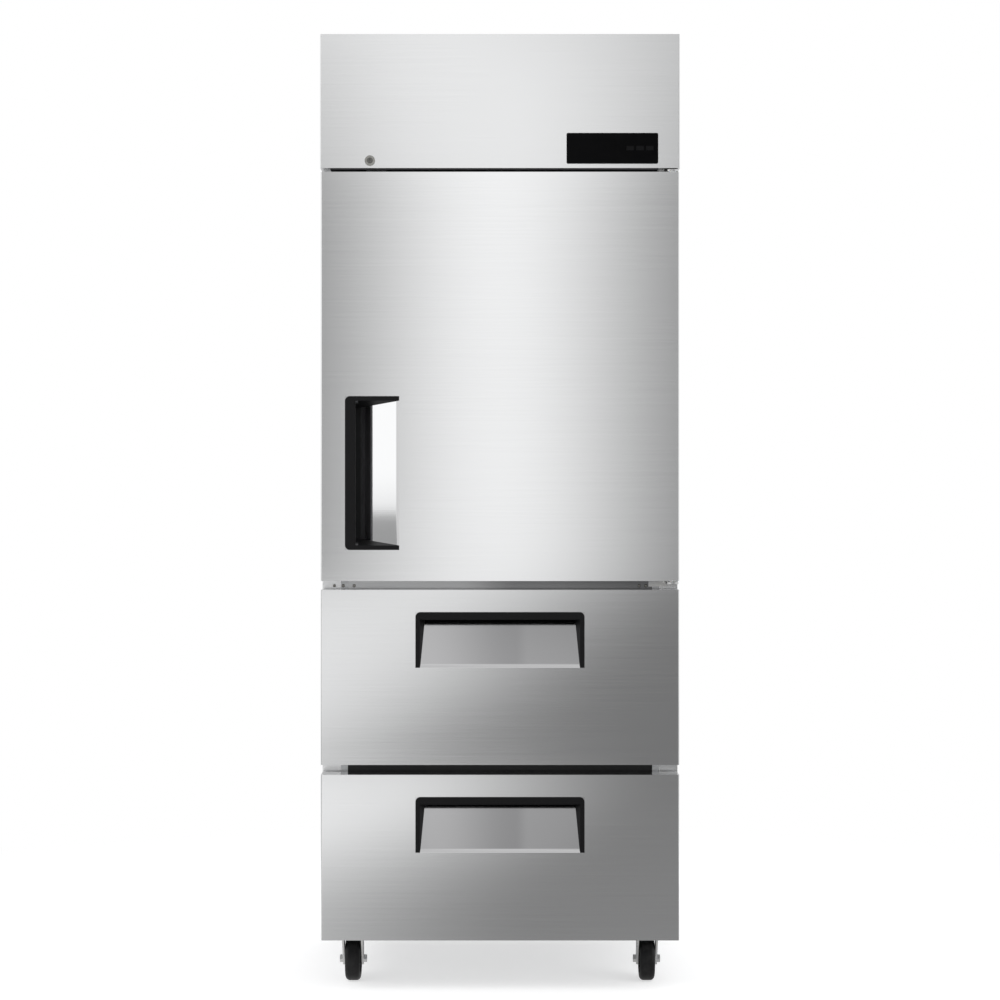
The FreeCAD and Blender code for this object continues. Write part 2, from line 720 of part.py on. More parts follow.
def panel_foam(name, foot, head, recess):
    """Insulation that fills a front, hollowed behind its recess."""
    foam = new_body(name + "_foam")
    inset = dim.sheet
    filling = rect(-panel_half + inset, foot + inset, panel_half - inset, head - inset)
    pad(foam, name + "_filling", "XZ", front + inset, panel_back - inset, filling)
    plane, outside = wedge(recess, inset)
    pocket(foam, name + "_hollow", plane, recess.low - inset, recess.high + inset, outside)
    return foam


def panel_inner(name, foot, head):
    """Inner sheet of a front, with the raised plug that faces the opening."""
    inner = new_body(name + "_inner_panel")
    inset = dim.sheet
    closing = rect(-panel_half + inset, foot + inset, panel_half - inset, head - inset)
    pad(inner, name + "_inner_sheet", "XZ", panel_back - inset, panel_back, closing)
    reach = dim.plug_inset
    plug = RoundedRect(-panel_half + reach, foot + reach, panel_half - reach, head - reach, dim.plug_corner)
    pad(inner, name + "_plug", "XZ", panel_back, plug_back, plug)
    rounded(
        inner,
        name + "_plug_edges",
        dim.plug_round,
        lambda edge: near(edge.BoundBox.YMin, plug_back) and near(edge.BoundBox.YMax, plug_back),
    )
    return inner


def panel_gasket(name, foot, head):
    """Magnetic gasket round the plug, rounded where it meets the cabinet."""
    ring = new_body(name + "_gasket")
    outer, inner = dim.gasket_inset, dim.gasket_inset + dim.gasket_width
    seal = frame_face - dim.gasket_clearance
    pad(
        ring,
        name + "_gasket_ring",
        "XZ",
        panel_back,
        seal,
        rect(-panel_half + outer, foot + outer, panel_half - outer, head - outer),
        rect(-panel_half + inner, foot + inner, panel_half - inner, head - inner),
    )
    rounded(
        ring,
        name + "_gasket_bellows",
        dim.gasket_round,
        lambda edge: near(edge.BoundBox.YMin, seal) and near(edge.BoundBox.YMax, seal),
    )
    return ring


def panel_grip(name, recess):
    """Moulded grip: a lip to hook the fingers behind, and two drafted arms that end on the slope of the recess."""
    grip = new_body(name + "_grip")
    depth = recess.depth
    pad(grip, name + "_grip_block", "XZ", front, front + depth, face_outline(recess))
    rounded(grip, name + "_grip_corners", dim.grip_corner, lambda edge: spine_corner(recess, edge))
    behind = [(recess.mouth, 0), (recess.mouth, depth), (recess.spine, depth), (fold_end(recess, 0), dim.grip_step)]
    plane, slope = slope_section(recess, behind)
    pocket(grip, name + "_grip_slope", plane, recess.low, recess.high, slope)
    low, high = recess.low + dim.grip_arm, recess.high - dim.grip_arm
    draft = depth * dim.grip_draft
    plane, throat = throat_section(recess, [(low, 0), (high, 0), (high - draft, depth), (low + draft, depth)])
    lip = from_spine(recess, recess.lip)
    pocket(grip, name + "_grip_throat", plane, lip, recess.mouth, throat)
    skin = dim.grip_lip_thickness
    narrowed = skin * dim.grip_draft
    hollow = [(low + narrowed, skin), (high - narrowed, skin), (high - draft, depth), (low + draft, depth)]
    plane, hook = throat_section(recess, hollow)
    pocket(grip, name + "_grip_hook", plane, from_spine(recess, dim.grip_wall), lip, hook)
    rounded(grip, name + "_grip_edge", dim.grip_edge, lambda edge: lip_edge(recess, lip, edge))
    return grip


def lip_edge(recess, lip, edge):
    """Whether an edge runs along the lip of a grip, on the side that the fingers hook behind."""
    if not runs_along(edge, "Z" if recess.upright else "X"):
        return False
    middle = edge.CenterOfMass
    return near(middle.x if recess.upright else middle.z, lip)


# Hinges on the right, with a pin down into the door and another up into it
hinge_x = half_width - dim.hinge_inset
hinge_y = front + dim.hinge_setback
bore_radius = dim.pin_radius + dim.bush_clearance


def hinge_bracket(label, edge, outward):
    """Angle bracket on the stile with the pin of one hinge; outward is +1 over the door and -1 under it."""
    bracket = new_body(label)
    plate_near = edge + outward * dim.hinge_gap
    plate_far = plate_near + outward * dim.hinge_plate
    reach = dim.hinge_reach
    pad(
        bracket,
        label + "_plate",
        "XY",
        plate_near,
        plate_far,
        rect(hinge_x - reach, hinge_y - reach, hinge_x + reach, frame_face),
    )
    rounded(
        bracket,
        label + "_nose",
        reach - dim.hinge_gap,
        lambda side: runs_along(side, "Z") and near(side.CenterOfMass.y, hinge_y - reach),
    )
    flange_end = plate_near - dim.hinge_flange_drop
    pad(
        bracket,
        label + "_flange",
        "XZ",
        frame_face - dim.hinge_plate,
        frame_face,
        rect(hinge_x + reach - dim.hinge_flange, flange_end, hinge_x + reach, max_of(plate_near, plate_far)),
    )
    pad(
        bracket,
        label + "_pin",
        "XY",
        edge - outward * dim.pin_length,
        plate_near,
        Circle(hinge_x, hinge_y, dim.pin_radius),
    )
    return bracket


def max_of(first, second):
    return first if number(first) > number(second) else second


def door_bush(label, edge, outward):
    """Nylon bush let into the edge of the door, with the collar that keeps the door off the bracket."""
    bush = new_body(label)
    collar = edge + outward * (dim.hinge_gap - dim.bush_float)
    sleeve_end = edge - outward * dim.bush_length
    pad(bush, label + "_sleeve", "XY", edge, sleeve_end, Circle(hinge_x, hinge_y, dim.bush_radius))
    pad(bush, label + "_collar", "XY", edge, collar, Circle(hinge_x, hinge_y, dim.bush_collar))
    pocket(bush, label + "_bore", "XY", sleeve_end, collar, Circle(hinge_x, hinge_y, bore_radius))
    return bush


# The lock turns its tongue down through the header's lower fold into the top edge of the door
lock_x = -half_width + dim.lock_inset
lock_z = header_foot + dim.lock_rise
lock_face = header_face - dim.lock_proud
sleeve_back = header_face + dim.lock_depth
tongue_front = sleeve_back + dim.tongue_float
tongue_back = tongue_front + dim.tongue_thickness
tongue_slot = rect(
    lock_x - dim.tongue_width / 2 - dim.tongue_slack,
    tongue_front - dim.tongue_slack,
    lock_x + dim.tongue_reach,
    tongue_back + dim.tongue_slack,
)


def lock_body():
    body = new_body("lock_body")
    pad(body, "lock_flange_disc", "XZ", lock_face, header_face, Circle(lock_x, lock_z, dim.lock_flange))
    pad(body, "lock_sleeve_tube", "XZ", header_face, sleeve_back, Circle(lock_x, lock_z, dim.lock_sleeve))
    nut_front = header_face + dim.sheet
    pad(body, "lock_nut_ring", "XZ", nut_front, nut_front + dim.lock_nut_depth, Circle(lock_x, lock_z, dim.lock_nut))
    bore = Circle(lock_x, lock_z, dim.barrel_radius + dim.barrel_clearance)
    pocket(body, "lock_bore", "XZ", lock_face, sleeve_back, bore)
    return body


def lock_barrel():
    barrel = new_body("lock_barrel")
    pad(barrel, "barrel", "XZ", lock_face, tongue_back, Circle(lock_x, lock_z, dim.barrel_radius))
    half = dim.tongue_width / 2
    tongue = rect(lock_x - half, lock_z - half, lock_x + dim.tongue_reach, lock_z + half)
    pad(barrel, "tongue", "XZ", tongue_front, tongue_back, tongue)
    slot = dim.keyway_width / 2
    reach = dim.barrel_radius * 0.6
    keyway = rect(lock_x - slot, lock_z - reach, lock_x + slot, lock_z + reach)
    pocket(barrel, "keyway", "XZ", lock_face, lock_face + dim.keyway_depth, keyway)
    return barrel


controller_right = half_width - dim.controller_inset
controller_left = controller_right - dim.controller_width
controller_foot = header_foot + dim.controller_rise
controller_head = controller_foot + dim.controller_height
controller_middle = controller_foot + dim.controller_height / 2
bezel_face = header_face - dim.bezel_thickness
controller_case = rect(
    controller_left + dim.bezel_margin,
    controller_foot + dim.bezel_margin,
    controller_right - dim.bezel_margin,
    controller_head - dim.bezel_margin,
)


def key_middle(place):
    """Middle of one of the three keys, counted from the right."""
    return controller_right - dim.bezel_margin - dim.key_pitch * (place + 0.5)


def key_outline(place, margin):
    half_w = dim.key_width / 2 + margin
    half_h = dim.key_height / 2 + margin
    middle = key_middle(place)
    return rect(middle - half_w, controller_middle - half_h, middle + half_w, controller_middle + half_h)


def controller_bezel():
    """Controller: a glossy bezel on the header with its case behind, a sunk window and wells for the keys."""
    bezel = new_body("controller_bezel")
    face = RoundedRect(controller_left, controller_foot, controller_right, controller_head, dim.controller_corner)
    pad(bezel, "bezel_plate", "XZ", bezel_face, header_face, face)
    pad(bezel, "controller_case", "XZ", header_face, header_face + dim.controller_depth, controller_case)
    window_left = controller_left + dim.bezel_margin
    half_window = dim.display_height / 2
    window = rect(
        window_left,
        controller_middle - half_window,
        window_left + dim.display_width,
        controller_middle + half_window,
    )
    pocket(bezel, "display_window", "XZ", bezel_face, bezel_face + dim.display_sink, window)
    wells = [key_outline(place, dim.key_clearance) for place in range(3)]
    pocket(bezel, "key_wells", "XZ", bezel_face, bezel_face + dim.key_room, *wells)
    return bezel


def controller_key(place):
    label = f"controller_key_{place + 1}"
    key = new_body(label)
    pad(
        key,
        label + "_cap",
        "XZ",
        bezel_face - dim.key_proud,
        bezel_face + dim.key_depth,
        key_outline(place, 0),
    )
    return key


def header_panel():
    """Folded header sheet, cut for the controller, the lock and the lock's tongue."""
    panel = new_body("header_panel")
    inset = dim.sheet
    pad(panel, "header_sheet", "XZ", header_face, frame_face, rect(-half_width, header_foot, half_width, header_head))
    rounded(
        panel,
        "header_bends",
        dim.panel_round,
        lambda edge: runs_along(edge, "Z") and near(edge.CenterOfMass.y, header_face),
    )
    tray = rect(-half_width + inset, header_foot + inset, half_width - inset, header_head - inset)
    pocket(panel, "header_tray", "XZ", header_face + inset, frame_face, tray)
    pocket(panel, "controller_hole", "XZ", header_face, header_face + inset, controller_case)
    pocket(panel, "lock_hole", "XZ", header_face, header_face + inset, Circle(lock_x, lock_z, dim.lock_sleeve))
    pocket(panel, "tongue_slot", "XY", header_foot, header_foot + inset, tongue_slot)
    return panel


def door():
    """The door's pieces: the front's own, cut for the hinge bushes and the lock, and the bushes."""
    skin = panel_skin("door", door_foot, door_head, door_recess)
    foam = panel_foam("door", door_foot, door_head, door_recess)
    inset = dim.sheet
    for place, edge, inward in (("lower", door_foot, 1), ("upper", door_head, -1)):
        hole = Circle(hinge_x, hinge_y, dim.bush_radius)
        pocket(skin, f"{place}_bush_hole", "XY", edge, edge + inward * inset, hole)
        pocket(foam, f"{place}_bush_socket", "XY", edge + inward * inset, edge + inward * dim.bush_length, hole)
    slot_floor = lock_z - dim.tongue_reach - dim.tongue_slack
    pocket(skin, "door_tongue_slot", "XY", door_head - inset, door_head, tongue_slot)
    pocket(foam, "door_tongue_socket", "XY", slot_floor, door_head - inset, tongue_slot)
    bushes = group("door_bushes", door_bush("lower_bush", door_foot, -1), door_bush("upper_bush", door_head, 1))
    inner = panel_inner("door", door_foot, door_head)
    return [skin, foam, inner, panel_gasket("door", door_foot, door_head), panel_grip("door", door_recess), bushes]


def drawer_front(name, foot, head):
    recess = drawer_recess(head)
    return [
        panel_skin(name, foot, head, recess),
        panel_foam(name, foot, head, recess),
        panel_inner(name, foot, head),
        panel_gasket(name, foot, head),
        panel_grip(name, recess),
    ]


def placed(item, x, y, z):
    """Move a piece to its place in the cabinet."""
    for axis, size in zip("xyz", (x, y, z)):
        bind(item, f".Placement.Base.{axis}", size)
    return item


def own_axis(body, axis):
    return next(item for item in body.Origin.OriginFeatures if item.Role == axis + "_Axis")


def row(body, name, feature, axis, pitch, count):
    """Repeat one feature along an axis, a pitch apart."""
    pattern = body.newObject("PartDesign::LinearPattern", name)
    pattern.Originals = [feature]
    pattern.Direction = (own_axis(body, axis), [""])
    pattern.Mode = "Spacing"
    bind(pattern, "Offset", pitch)
    bind(pattern, "Occurrences", count)
    body.Tip = pattern
    return pattern


def how_many(length, pitch):
    """Whole pitches in a length."""
    return Size(f"floor({formula_of(length / pitch)})", math.floor(number(length / pitch)))


# Telescopic rails: the outer one on the liner, the middle one between, the inner one on the tub
tub_half = inner_half - dim.slide_width
rail_front = frame_face + dim.rail_setback
rail_back = rail_front + dim.rail_length
middle_half_height = dim.rail_height / 2 - dim.rail_steel - dim.rail_gap
inner_half_height = middle_half_height - dim.rail_steel - dim.rail_gap
tub_front = plug_back
tub_back = tub_front + dim.tub_depth
lower_tub_floor = liner_floor + dim.tub_lift
upper_tub_floor = lower_mullion_middle + dim.mullion_height / 2 + dim.tub_lift


def channel(label, web, mouth, middle, half_height):
    """A folded rail, open on one side, that runs front to back on the right of the cabinet."""
    rail = new_body(label)
    steel = dim.rail_steel
    fold = web - steel if number(web) > number(mouth) else web + steel
    low, high = middle - half_height, middle + half_height
    section = [
        (web, low),
        (web, high),
        (mouth, high),
        (mouth, high - steel),
        (fold, high - steel),
        (fold, low + steel),
        (mouth, low + steel),
        (mouth, low),
    ]
    pad(rail, label + "_fold", "XZ", rail_front, rail_back, section)
    return rail


def both_sides(*items):
    """Pieces of the right-hand side with their mirror images."""
    return [*items, *(mirrored(item, item.Label.replace("right", "left")) for item in items)]


def outer_rails():
    rails = []
    for name, floor in (("lower", lower_tub_floor), ("upper", upper_tub_floor)):
        label = f"{name}_right_outer_rail"
        middle = floor + dim.rail_rise
        rails += both_sides(channel(label, inner_half, inner_half - dim.rail_width, middle, dim.rail_height / 2))
    return group("outer_rails", *rails)


def middle_rails(name, floor):
    web = inner_half - dim.rail_steel - dim.rail_gap
    mouth = web - dim.rail_width + dim.rail_gap
    rail = channel(f"{name}_right_middle_rail", web, mouth, floor + dim.rail_rise, middle_half_height)
    return group(f"{name}_middle_rails", *both_sides(rail))


def drawer_box(name, floor, height):
    """Tub of a drawer with its inner rails: drawn corners, and lips folded out along its sides."""
    tub = new_body(f"{name}_tub")
    wall, rim = dim.tub_sheet, floor + height
    outside = RoundedRect(-tub_half, tub_front, tub_half, tub_back, dim.tub_corner)
    inside = RoundedRect(
        -tub_half + wall, tub_front + wall, tub_half - wall, tub_back - wall, dim.tub_corner - wall
    )
    pad(tub, f"{name}_tub_block", "XY", floor, rim, outside)
    lip_front, lip_back = tub_front + dim.tub_corner, tub_back - dim.tub_corner
    lips = [
        rect(tub_half - wall, lip_front, tub_half + dim.tub_lip, lip_back),
        rect(-tub_half - dim.tub_lip, lip_front, -tub_half + wall, lip_back),
    ]
    pad(tub, f"{name}_tub_lips", "XY", rim - wall, rim, *lips)
    pocket(tub, f"{name}_tub_hollow", "XY", floor + wall, rim, inside)
    web = tub_half
    mouth = inner_half - 2 * (dim.rail_steel + dim.rail_gap)
    rail = channel(f"{name}_right_inner_rail", web, mouth, floor + dim.rail_rise, inner_half_height)
    return group(f"{name}_box", tub, *both_sides(rail))


# Shelf uprights on the side walls of the door compartment, with clips for two shelves
pilaster_foot = upper_mullion_middle + dim.mullion_height / 2 + dim.pilaster_lift
pilaster_face = inner_half - dim.pilaster_depth
front_pilaster = frame_face + dim.pilaster_setback
rear_pilaster = front_pilaster + dim.pilaster_spread


def pilaster(label, middle):
    """Slotted upright, a channel open to the wall."""
    upright = new_body(label)
    half, steel = dim.pilaster_width / 2, dim.pilaster_steel
    section = [
        (inner_half, middle - half),
        (inner_half, middle - half + steel),
        (pilaster_face + steel, middle - half + steel),
        (pilaster_face + steel, middle + half - steel),
        (inner_half, middle + half - steel),
        (inner_half, middle + half),
        (pilaster_face, middle + half),
        (pilaster_face, middle - half),
    ]
    pad(upright, label + "_fold", "XY", pilaster_foot, pilaster_foot + dim.pilaster_length, section)
    first = pilaster_foot + dim.slot_pitch / 2
    slot = rect(middle - dim.slot_width / 2, first, middle + dim.slot_width / 2, first + dim.slot_height)
    cut = pocket(upright, label + "_slot", "YZ", pilaster_face, pilaster_face + steel, slot)
    row(upright, label + "_slots", cut, "Z", dim.slot_pitch, how_many(dim.pilaster_length, dim.slot_pitch))
    return upright


def shelf_clip(label, middle, level):
    """Bent clip hung on an upright; the shelf lies on its tongue."""
    clip = new_body(label)
    steel = dim.clip_steel
    section = [
        (pilaster_face, level - dim.clip_drop),
        (pilaster_face, level),
        (pilaster_face - dim.clip_reach, level),
        (pilaster_face - dim.clip_reach, level - steel),
        (pilaster_face - steel, level - steel),
        (pilaster_face - steel, level - dim.clip_drop),
    ]
    half = dim.clip_width / 2
    pad(clip, label + "_fold", "XZ", middle - half, middle + half, section)
    return clip


def shelf_supports():
    pieces = []
    for place, middle in (("front", front_pilaster), ("rear", rear_pilaster)):
        pieces += both_sides(pilaster(f"right_{place}_pilaster", middle))
        for name, rise in (("lower", dim.lower_shelf_rise), ("upper", dim.upper_shelf_rise)):
            pieces += both_sides(shelf_clip(f"right_{place}_{name}_clip", middle, pilaster_foot + rise))
    return group("shelf_supports", *pieces)


def wire_shelf(label, level):
    """Shelf of wires welded on a frame of rods."""
    shelf = new_body(label)
    half = pilaster_face - dim.shelf_side_gap - dim.side_rod_radius
    near_side = frame_face + dim.shelf_setback
    far_side = liner_back - dim.shelf_back_gap
    near_end, far_end = near_side - dim.wire_overhang, far_side + dim.wire_overhang
    rod_level = level + dim.side_rod_radius
    wire_level = rod_level + dim.rod_radius + dim.wire_radius - dim.wire_sink
    rods = [Circle(place, rod_level, dim.rod_radius) for place in (near_side, (near_side + far_side) / 2, far_side)]
    pad(shelf, label + "_cross_rods", "YZ", -half, half, *rods)
    sides = [Circle(-half, rod_level, dim.side_rod_radius), Circle(half, rod_level, dim.side_rod_radius)]
    pad(shelf, label + "_side_rods", "XZ", near_end, far_end, *sides)
    count = how_many(2 * half, dim.wire_pitch)
    first = -(count - 1) * dim.wire_pitch / 2
    wire = pad(shelf, label + "_wire", "XZ", near_end, far_end, Circle(first, wire_level, dim.wire_radius))
    row(shelf, label + "_wires", wire, "X", dim.wire_pitch, count)
    return shelf


# The evaporator hangs from the roof of the liner, behind a fan that blows into the compartment
cover_back = liner_back - dim.evaporator_gap
cover_front = cover_back - dim.evaporator_depth
cover_floor = liner_roof - dim.evaporator_height
small_fan_z = cover_floor + dim.cover_slope / 2 + dim.evaporator_height / 2
small_fan_y = cover_front + dim.cover_sheet + dim.motor_gap


def cover_section(margin):
    """Side view of the evaporator cover, drawn in by a margin."""
    low = cover_floor + margin
    return [
        (cover_front + margin, liner_roof),
        (cover_front + margin, cover_floor + dim.cover_slope),
        (cover_front + dim.cover_slope, low),
        (cover_back - margin, low),
        (cover_back - margin, liner_roof),
    ]


def evaporator_cover():
    """Folded cover, open to the roof, with the fan's outlet in front and return slots below."""
    cover = new_body("evaporator_cover")
    wall = dim.cover_sheet
    half = dim.evaporator_half
    pad(cover, "cover_fold", "YZ", -half, half, cover_section(0))
    pocket(cover, "cover_hollow", "YZ", -half + wall, half - wall, cover_section(wall))
    outlet = Circle(0, small_fan_z, dim.small_fan_radius + dim.fan_tip_gap)
    pocket(cover, "fan_outlet", "XZ", cover_front, cover_front + wall, outlet)
    first = -half + dim.grille_pitch
    slot_front = cover_front + dim.cover_slope + dim.grille_pitch
    slot = rect(first, slot_front, first + dim.grille_slot, slot_front + dim.grille_length)
    cut = pocket(cover, "return_slot", "XY", cover_floor, cover_floor + wall, slot)
    row(cover, "return_slots", cut, "X", dim.grille_pitch, how_many(2 * half - dim.grille_pitch, dim.grille_pitch))
    return cover


def evaporator_coil():
    """Finned block that hangs from the roof inside the cover."""
    coil = new_body("evaporator_coil")
    back = cover_back - dim.cover_sheet - dim.coil_gap
    block = rect(-dim.coil_half, liner_roof - dim.coil_height, dim.coil_half, liner_roof)
    pad(coil, "coil_block", "XZ", back - dim.coil_depth, back, block)
    return coil


def turned(body, axis, angle):
    """Turn a piece that was drawn round its own Z axis."""
    body.Placement = FreeCAD.Placement(FreeCAD.Vector(), FreeCAD.Rotation(AXES[axis], angle))
    return body


def fan(label, radius, blades, x, y, z):
    """Axial fan drawn round Z: a hub with lofted, pitched blades; it is then turned to blow along Y."""
    wheel = new_body(label)
    hub = radius * dim.fan_hub
    middle = dim.fan_depth / 2
    bore = Circle(0, 0, dim.shaft_radius + dim.shaft_clearance)
    pad(wheel, label + "_hub", "XY", 0, dim.fan_depth, Circle(0, 0, hub))
    rounded(
        wheel,
        label + "_nose",
        dim.blade_sheet * 2,
        lambda edge: edge.Curve.TypeId == "Part::GeomCircle" and near(edge.CenterOfMass.z, 0),
    )
    sections = []
    for place, share in ((hub - dim.blade_sheet, 0.55), (radius, 1)):
        reach, rise = dim.blade_chord * share / 2, dim.blade_rise / (2 * share)
        blade = [
            (-reach, middle - rise),
            (reach, middle + rise - dim.blade_sheet),
            (reach, middle + rise),
            (-reach, middle - rise + dim.blade_sheet),
        ]
        sections.append(outline(wheel, f"{label}_section_{len(sections) + 1}", "YZ", place, [blade]))
    blade = wheel.newObject("PartDesign::AdditiveLoft", label + "_blade")
    blade.Profile = sections[0]
    blade.Sections = [sections[1]]
    blade.Ruled = True
    ring = wheel.newObject("PartDesign::PolarPattern", label + "_blades")
    ring.Originals = [blade]
    ring.Axis = (own_axis(wheel, "Z"), [""])
    ring.Angle = 360
    ring.Occurrences = blades
    wheel.Tip = ring
    pocket(wheel, label + "_bore", "XY", 0, dim.fan_depth, bore)
    turned(wheel, "X", -90)
    return placed(wheel, x, y, z)


def fan_motor(label, ring_radius, seat, x, y, z):
    """Motor with its shaft, drawn round Z behind its fan, on a strap whose two legs reach forward to a seat."""
    motor = new_body(label)
    case = dim.fan_depth + dim.motor_gap
    strap_back = case + dim.motor_length
    pad(motor, label + "_case", "XY", case, strap_back, Circle(0, 0, dim.motor_radius))
    rounded(
        motor,
        label + "_rim",
        dim.motor_gap,
        lambda edge: edge.Curve.TypeId == "Part::GeomCircle" and near(edge.CenterOfMass.z, case),
    )
    pad(motor, label + "_shaft", "XY", dim.blade_sheet, case, Circle(0, 0, dim.shaft_radius))
    half = dim.strap_width / 2
    reach = ring_radius + dim.strap_width
    steel = dim.strap_steel
    pad(motor, label + "_strap", "XY", strap_back, strap_back + steel, rect(-reach, -half, reach, half))
    legs = [rect(-reach, -half, -reach + steel, half), rect(reach - steel, -half, reach, half)]
    pad(motor, label + "_legs", "XY", seat, strap_back, *legs)
    turned(motor, "X", -90)
    return placed(motor, x, y, z)


# Condensing unit on the deck: condenser, shroud and fan on the left, compressor on the right
condenser_left = -half_width + dim.condenser_inset
condenser_right = condenser_left + dim.condenser_width
condenser_front = fold_back + dim.condenser_setback
condenser_back = condenser_front + dim.condenser_depth
condenser_middle = condenser_front + dim.condenser_depth / 2
condenser_top = deck_top + dim.condenser_height
tube_end = condenser_right + dim.tube_sheet
inlet_z = condenser_top - dim.bend_pitch
outlet_z = inlet_z - 7 * dim.bend_pitch
inlet_end = tube_end + dim.bend_pitch
shroud_back = condenser_back + dim.shroud_depth
large_fan_x = condenser_left + dim.condenser_width / 2
large_fan_y = shroud_back - dim.motor_gap
large_fan_z = deck_top + dim.condenser_height / 2
compressor_x = half_width - dim.compressor_inset
compressor_y = frame_face + dim.compressor_setback
compressor_top = deck_top + dim.foot_height + dim.compressor_height
stub_end = compressor_top + dim.stub_reach


def condenser_coil():
    """Finned block between two end plates, with return bends and the two tube ends on the right."""
    coil = new_body("condenser_coil")
    fins = rect(condenser_left, deck_top, condenser_right, condenser_top)
    pad(coil, "condenser_fins", "XZ", condenser_front, condenser_back, fins)
    rim = dim.tube_sheet_rim
    plate = rect(condenser_front - rim, deck_top, condenser_back, condenser_top + rim)
    pad(coil, "left_tube_sheet", "YZ", condenser_left - dim.tube_sheet, condenser_left, plate)
    pad(coil, "right_tube_sheet", "YZ", condenser_right, tube_end, plate)
    ends = [Circle(condenser_middle, level, dim.line_radius) for level in (inlet_z, outlet_z)]
    pad(coil, "tube_ends", "YZ", tube_end, inlet_end, *ends)
    tube = outline(coil, "bend_section", "YZ", tube_end, [Circle(condenser_middle, dim.bend_pitch / 2, dim.bend_radius)])
    bind(tube, ".AttachmentOffset.Base.y", outlet_z + dim.bend_pitch * 1.5)
    bend = coil.newObject("PartDesign::Revolution", "return_bend")
    bend.Profile = tube
    bend.ReferenceAxis = (tube, ["H_Axis"])
    bend.Angle = 180
    bend.Reversed = False
    row(coil, "return_bends", bend, "Z", dim.bend_pitch * 2, 3)
    return coil


def condenser_shroud():
    """Folded shroud that leads the air from the condenser into the fan's ring."""
    shroud = new_body("condenser_shroud")
    wall = dim.sheet
    box = rect(condenser_left, deck_top, condenser_right, condenser_top)
    hollow = rect(condenser_left + wall, deck_top + wall, condenser_right - wall, condenser_top - wall)
    pad(shroud, "shroud_box", "XZ", condenser_back, shroud_back, box)
    pocket(shroud, "shroud_hollow", "XZ", condenser_back, shroud_back - wall, hollow)
    inside = Circle(large_fan_x, large_fan_z, dim.large_fan_radius + dim.fan_tip_gap)
    outside = Circle(large_fan_x, large_fan_z, dim.large_fan_radius + dim.fan_tip_gap + wall)
    pad(shroud, "shroud_ring", "XZ", shroud_back - wall, shroud_back + dim.ring_lip, outside)
    pocket(shroud, "shroud_mouth", "XZ", shroud_back - wall, shroud_back + dim.ring_lip, inside)
    return shroud


def compressor():
    """Hermetic compressor: a domed shell with a welded seam, feet, a terminal box and two tube stubs."""
    shell = new_body("compressor")
    foot = dim.foot_height
    top = foot + dim.compressor_height
    pad(shell, "compressor_shell", "XY", foot, top, Circle(0, 0, dim.compressor_radius))
    rounded(shell, "compressor_top", dim.compressor_dome, lambda edge: near(edge.BoundBox.ZMin, top))
    rounded(shell, "compressor_bottom", dim.compressor_bowl, lambda edge: near(edge.BoundBox.ZMax, foot))
    seam = foot + dim.compressor_height / 2
    pad(
        shell,
        "compressor_seam",
        "XY",
        seam,
        seam + dim.seam_height,
        Circle(0, 0, dim.compressor_radius + dim.seam_width),
    )
    spread = dim.foot_spread
    edge = spread + dim.foot_radius
    pad(shell, "compressor_plate", "XY", foot - dim.foot_plate, foot, RoundedRect(-edge, -edge, edge, edge, dim.foot_radius))
    feet = [Circle(x, y, dim.foot_radius) for x in (-spread, spread) for y in (-spread, spread)]
    pad(shell, "compressor_feet", "XY", 0, foot - dim.foot_plate, *feet)
    half = dim.terminal_width / 2
    box = rect(-half, seam - dim.terminal_height, half, seam)
    reach = dim.compressor_radius + dim.terminal_reach
    pad(shell, "terminal_box", "XZ", dim.compressor_dome, reach, box)
    stub = dim.stub_spread
    pad(shell, "discharge_stub", "XY", seam, top + dim.stub_reach, Circle(-stub, -stub, dim.line_radius))
    pad(shell, "suction_stub", "XY", seam, top + dim.stub_reach, Circle(stub, -stub, dim.suction_radius))
    return placed(shell, compressor_x, compressor_y, deck_top)


def tube(label, radius, *route):
    """A round tube along straight runs joined by tangent bends."""
    points = [FreeCAD.Vector(*(number(place) for place in point)) for point in route]
    bend = number(dim.line_bend)
    edges = []
    start = points[0]
    for before, corner, after in zip(points, points[1:], points[2:]):
        into = (corner - before).normalize()
        out = (after - corner).normalize()
        half_turn = into.getAngle(out) / 2
        cut = bend * math.tan(half_turn)
        inside = (out - into).normalize() * (bend / math.cos(half_turn) - bend)
        first, last = corner - into * cut, corner + out * cut
        edges.append(Part.LineSegment(start, first).toShape())
        edges.append(Part.Arc(first, corner + inside, last).toShape())
        start = last
    edges.append(Part.LineSegment(start, points[-1]).toShape())
    section = Part.Wire(Part.Circle(points[0], points[1] - points[0], number(radius)).toShape())
    line = doc.addObject("Part::Feature", label)
    line.Shape = Part.Wire(edges).makePipeShell([section], True, False)
    return line


# Lines of the refrigerant circuit; behind the drier the capillary rises in a loop before it goes into the deck
discharge_x = compressor_x - dim.stub_spread
suction_x = compressor_x + dim.stub_spread
stub_y = compressor_y - dim.stub_spread
line_top = stub_end + dim.line_rise
drier_x = inlet_end + dim.line_bend * 1.25
drier_front = condenser_middle + dim.line_bend * 3
drier_back = drier_front + dim.drier_length
capillary_y = drier_back + dim.line_bend * 2
capillary_top = outlet_z + dim.line_bend * 4
descent_y = capillary_y + dim.line_bend * 3
suction_y = compressor_y + dim.compressor_radius + dim.line_bend * 4


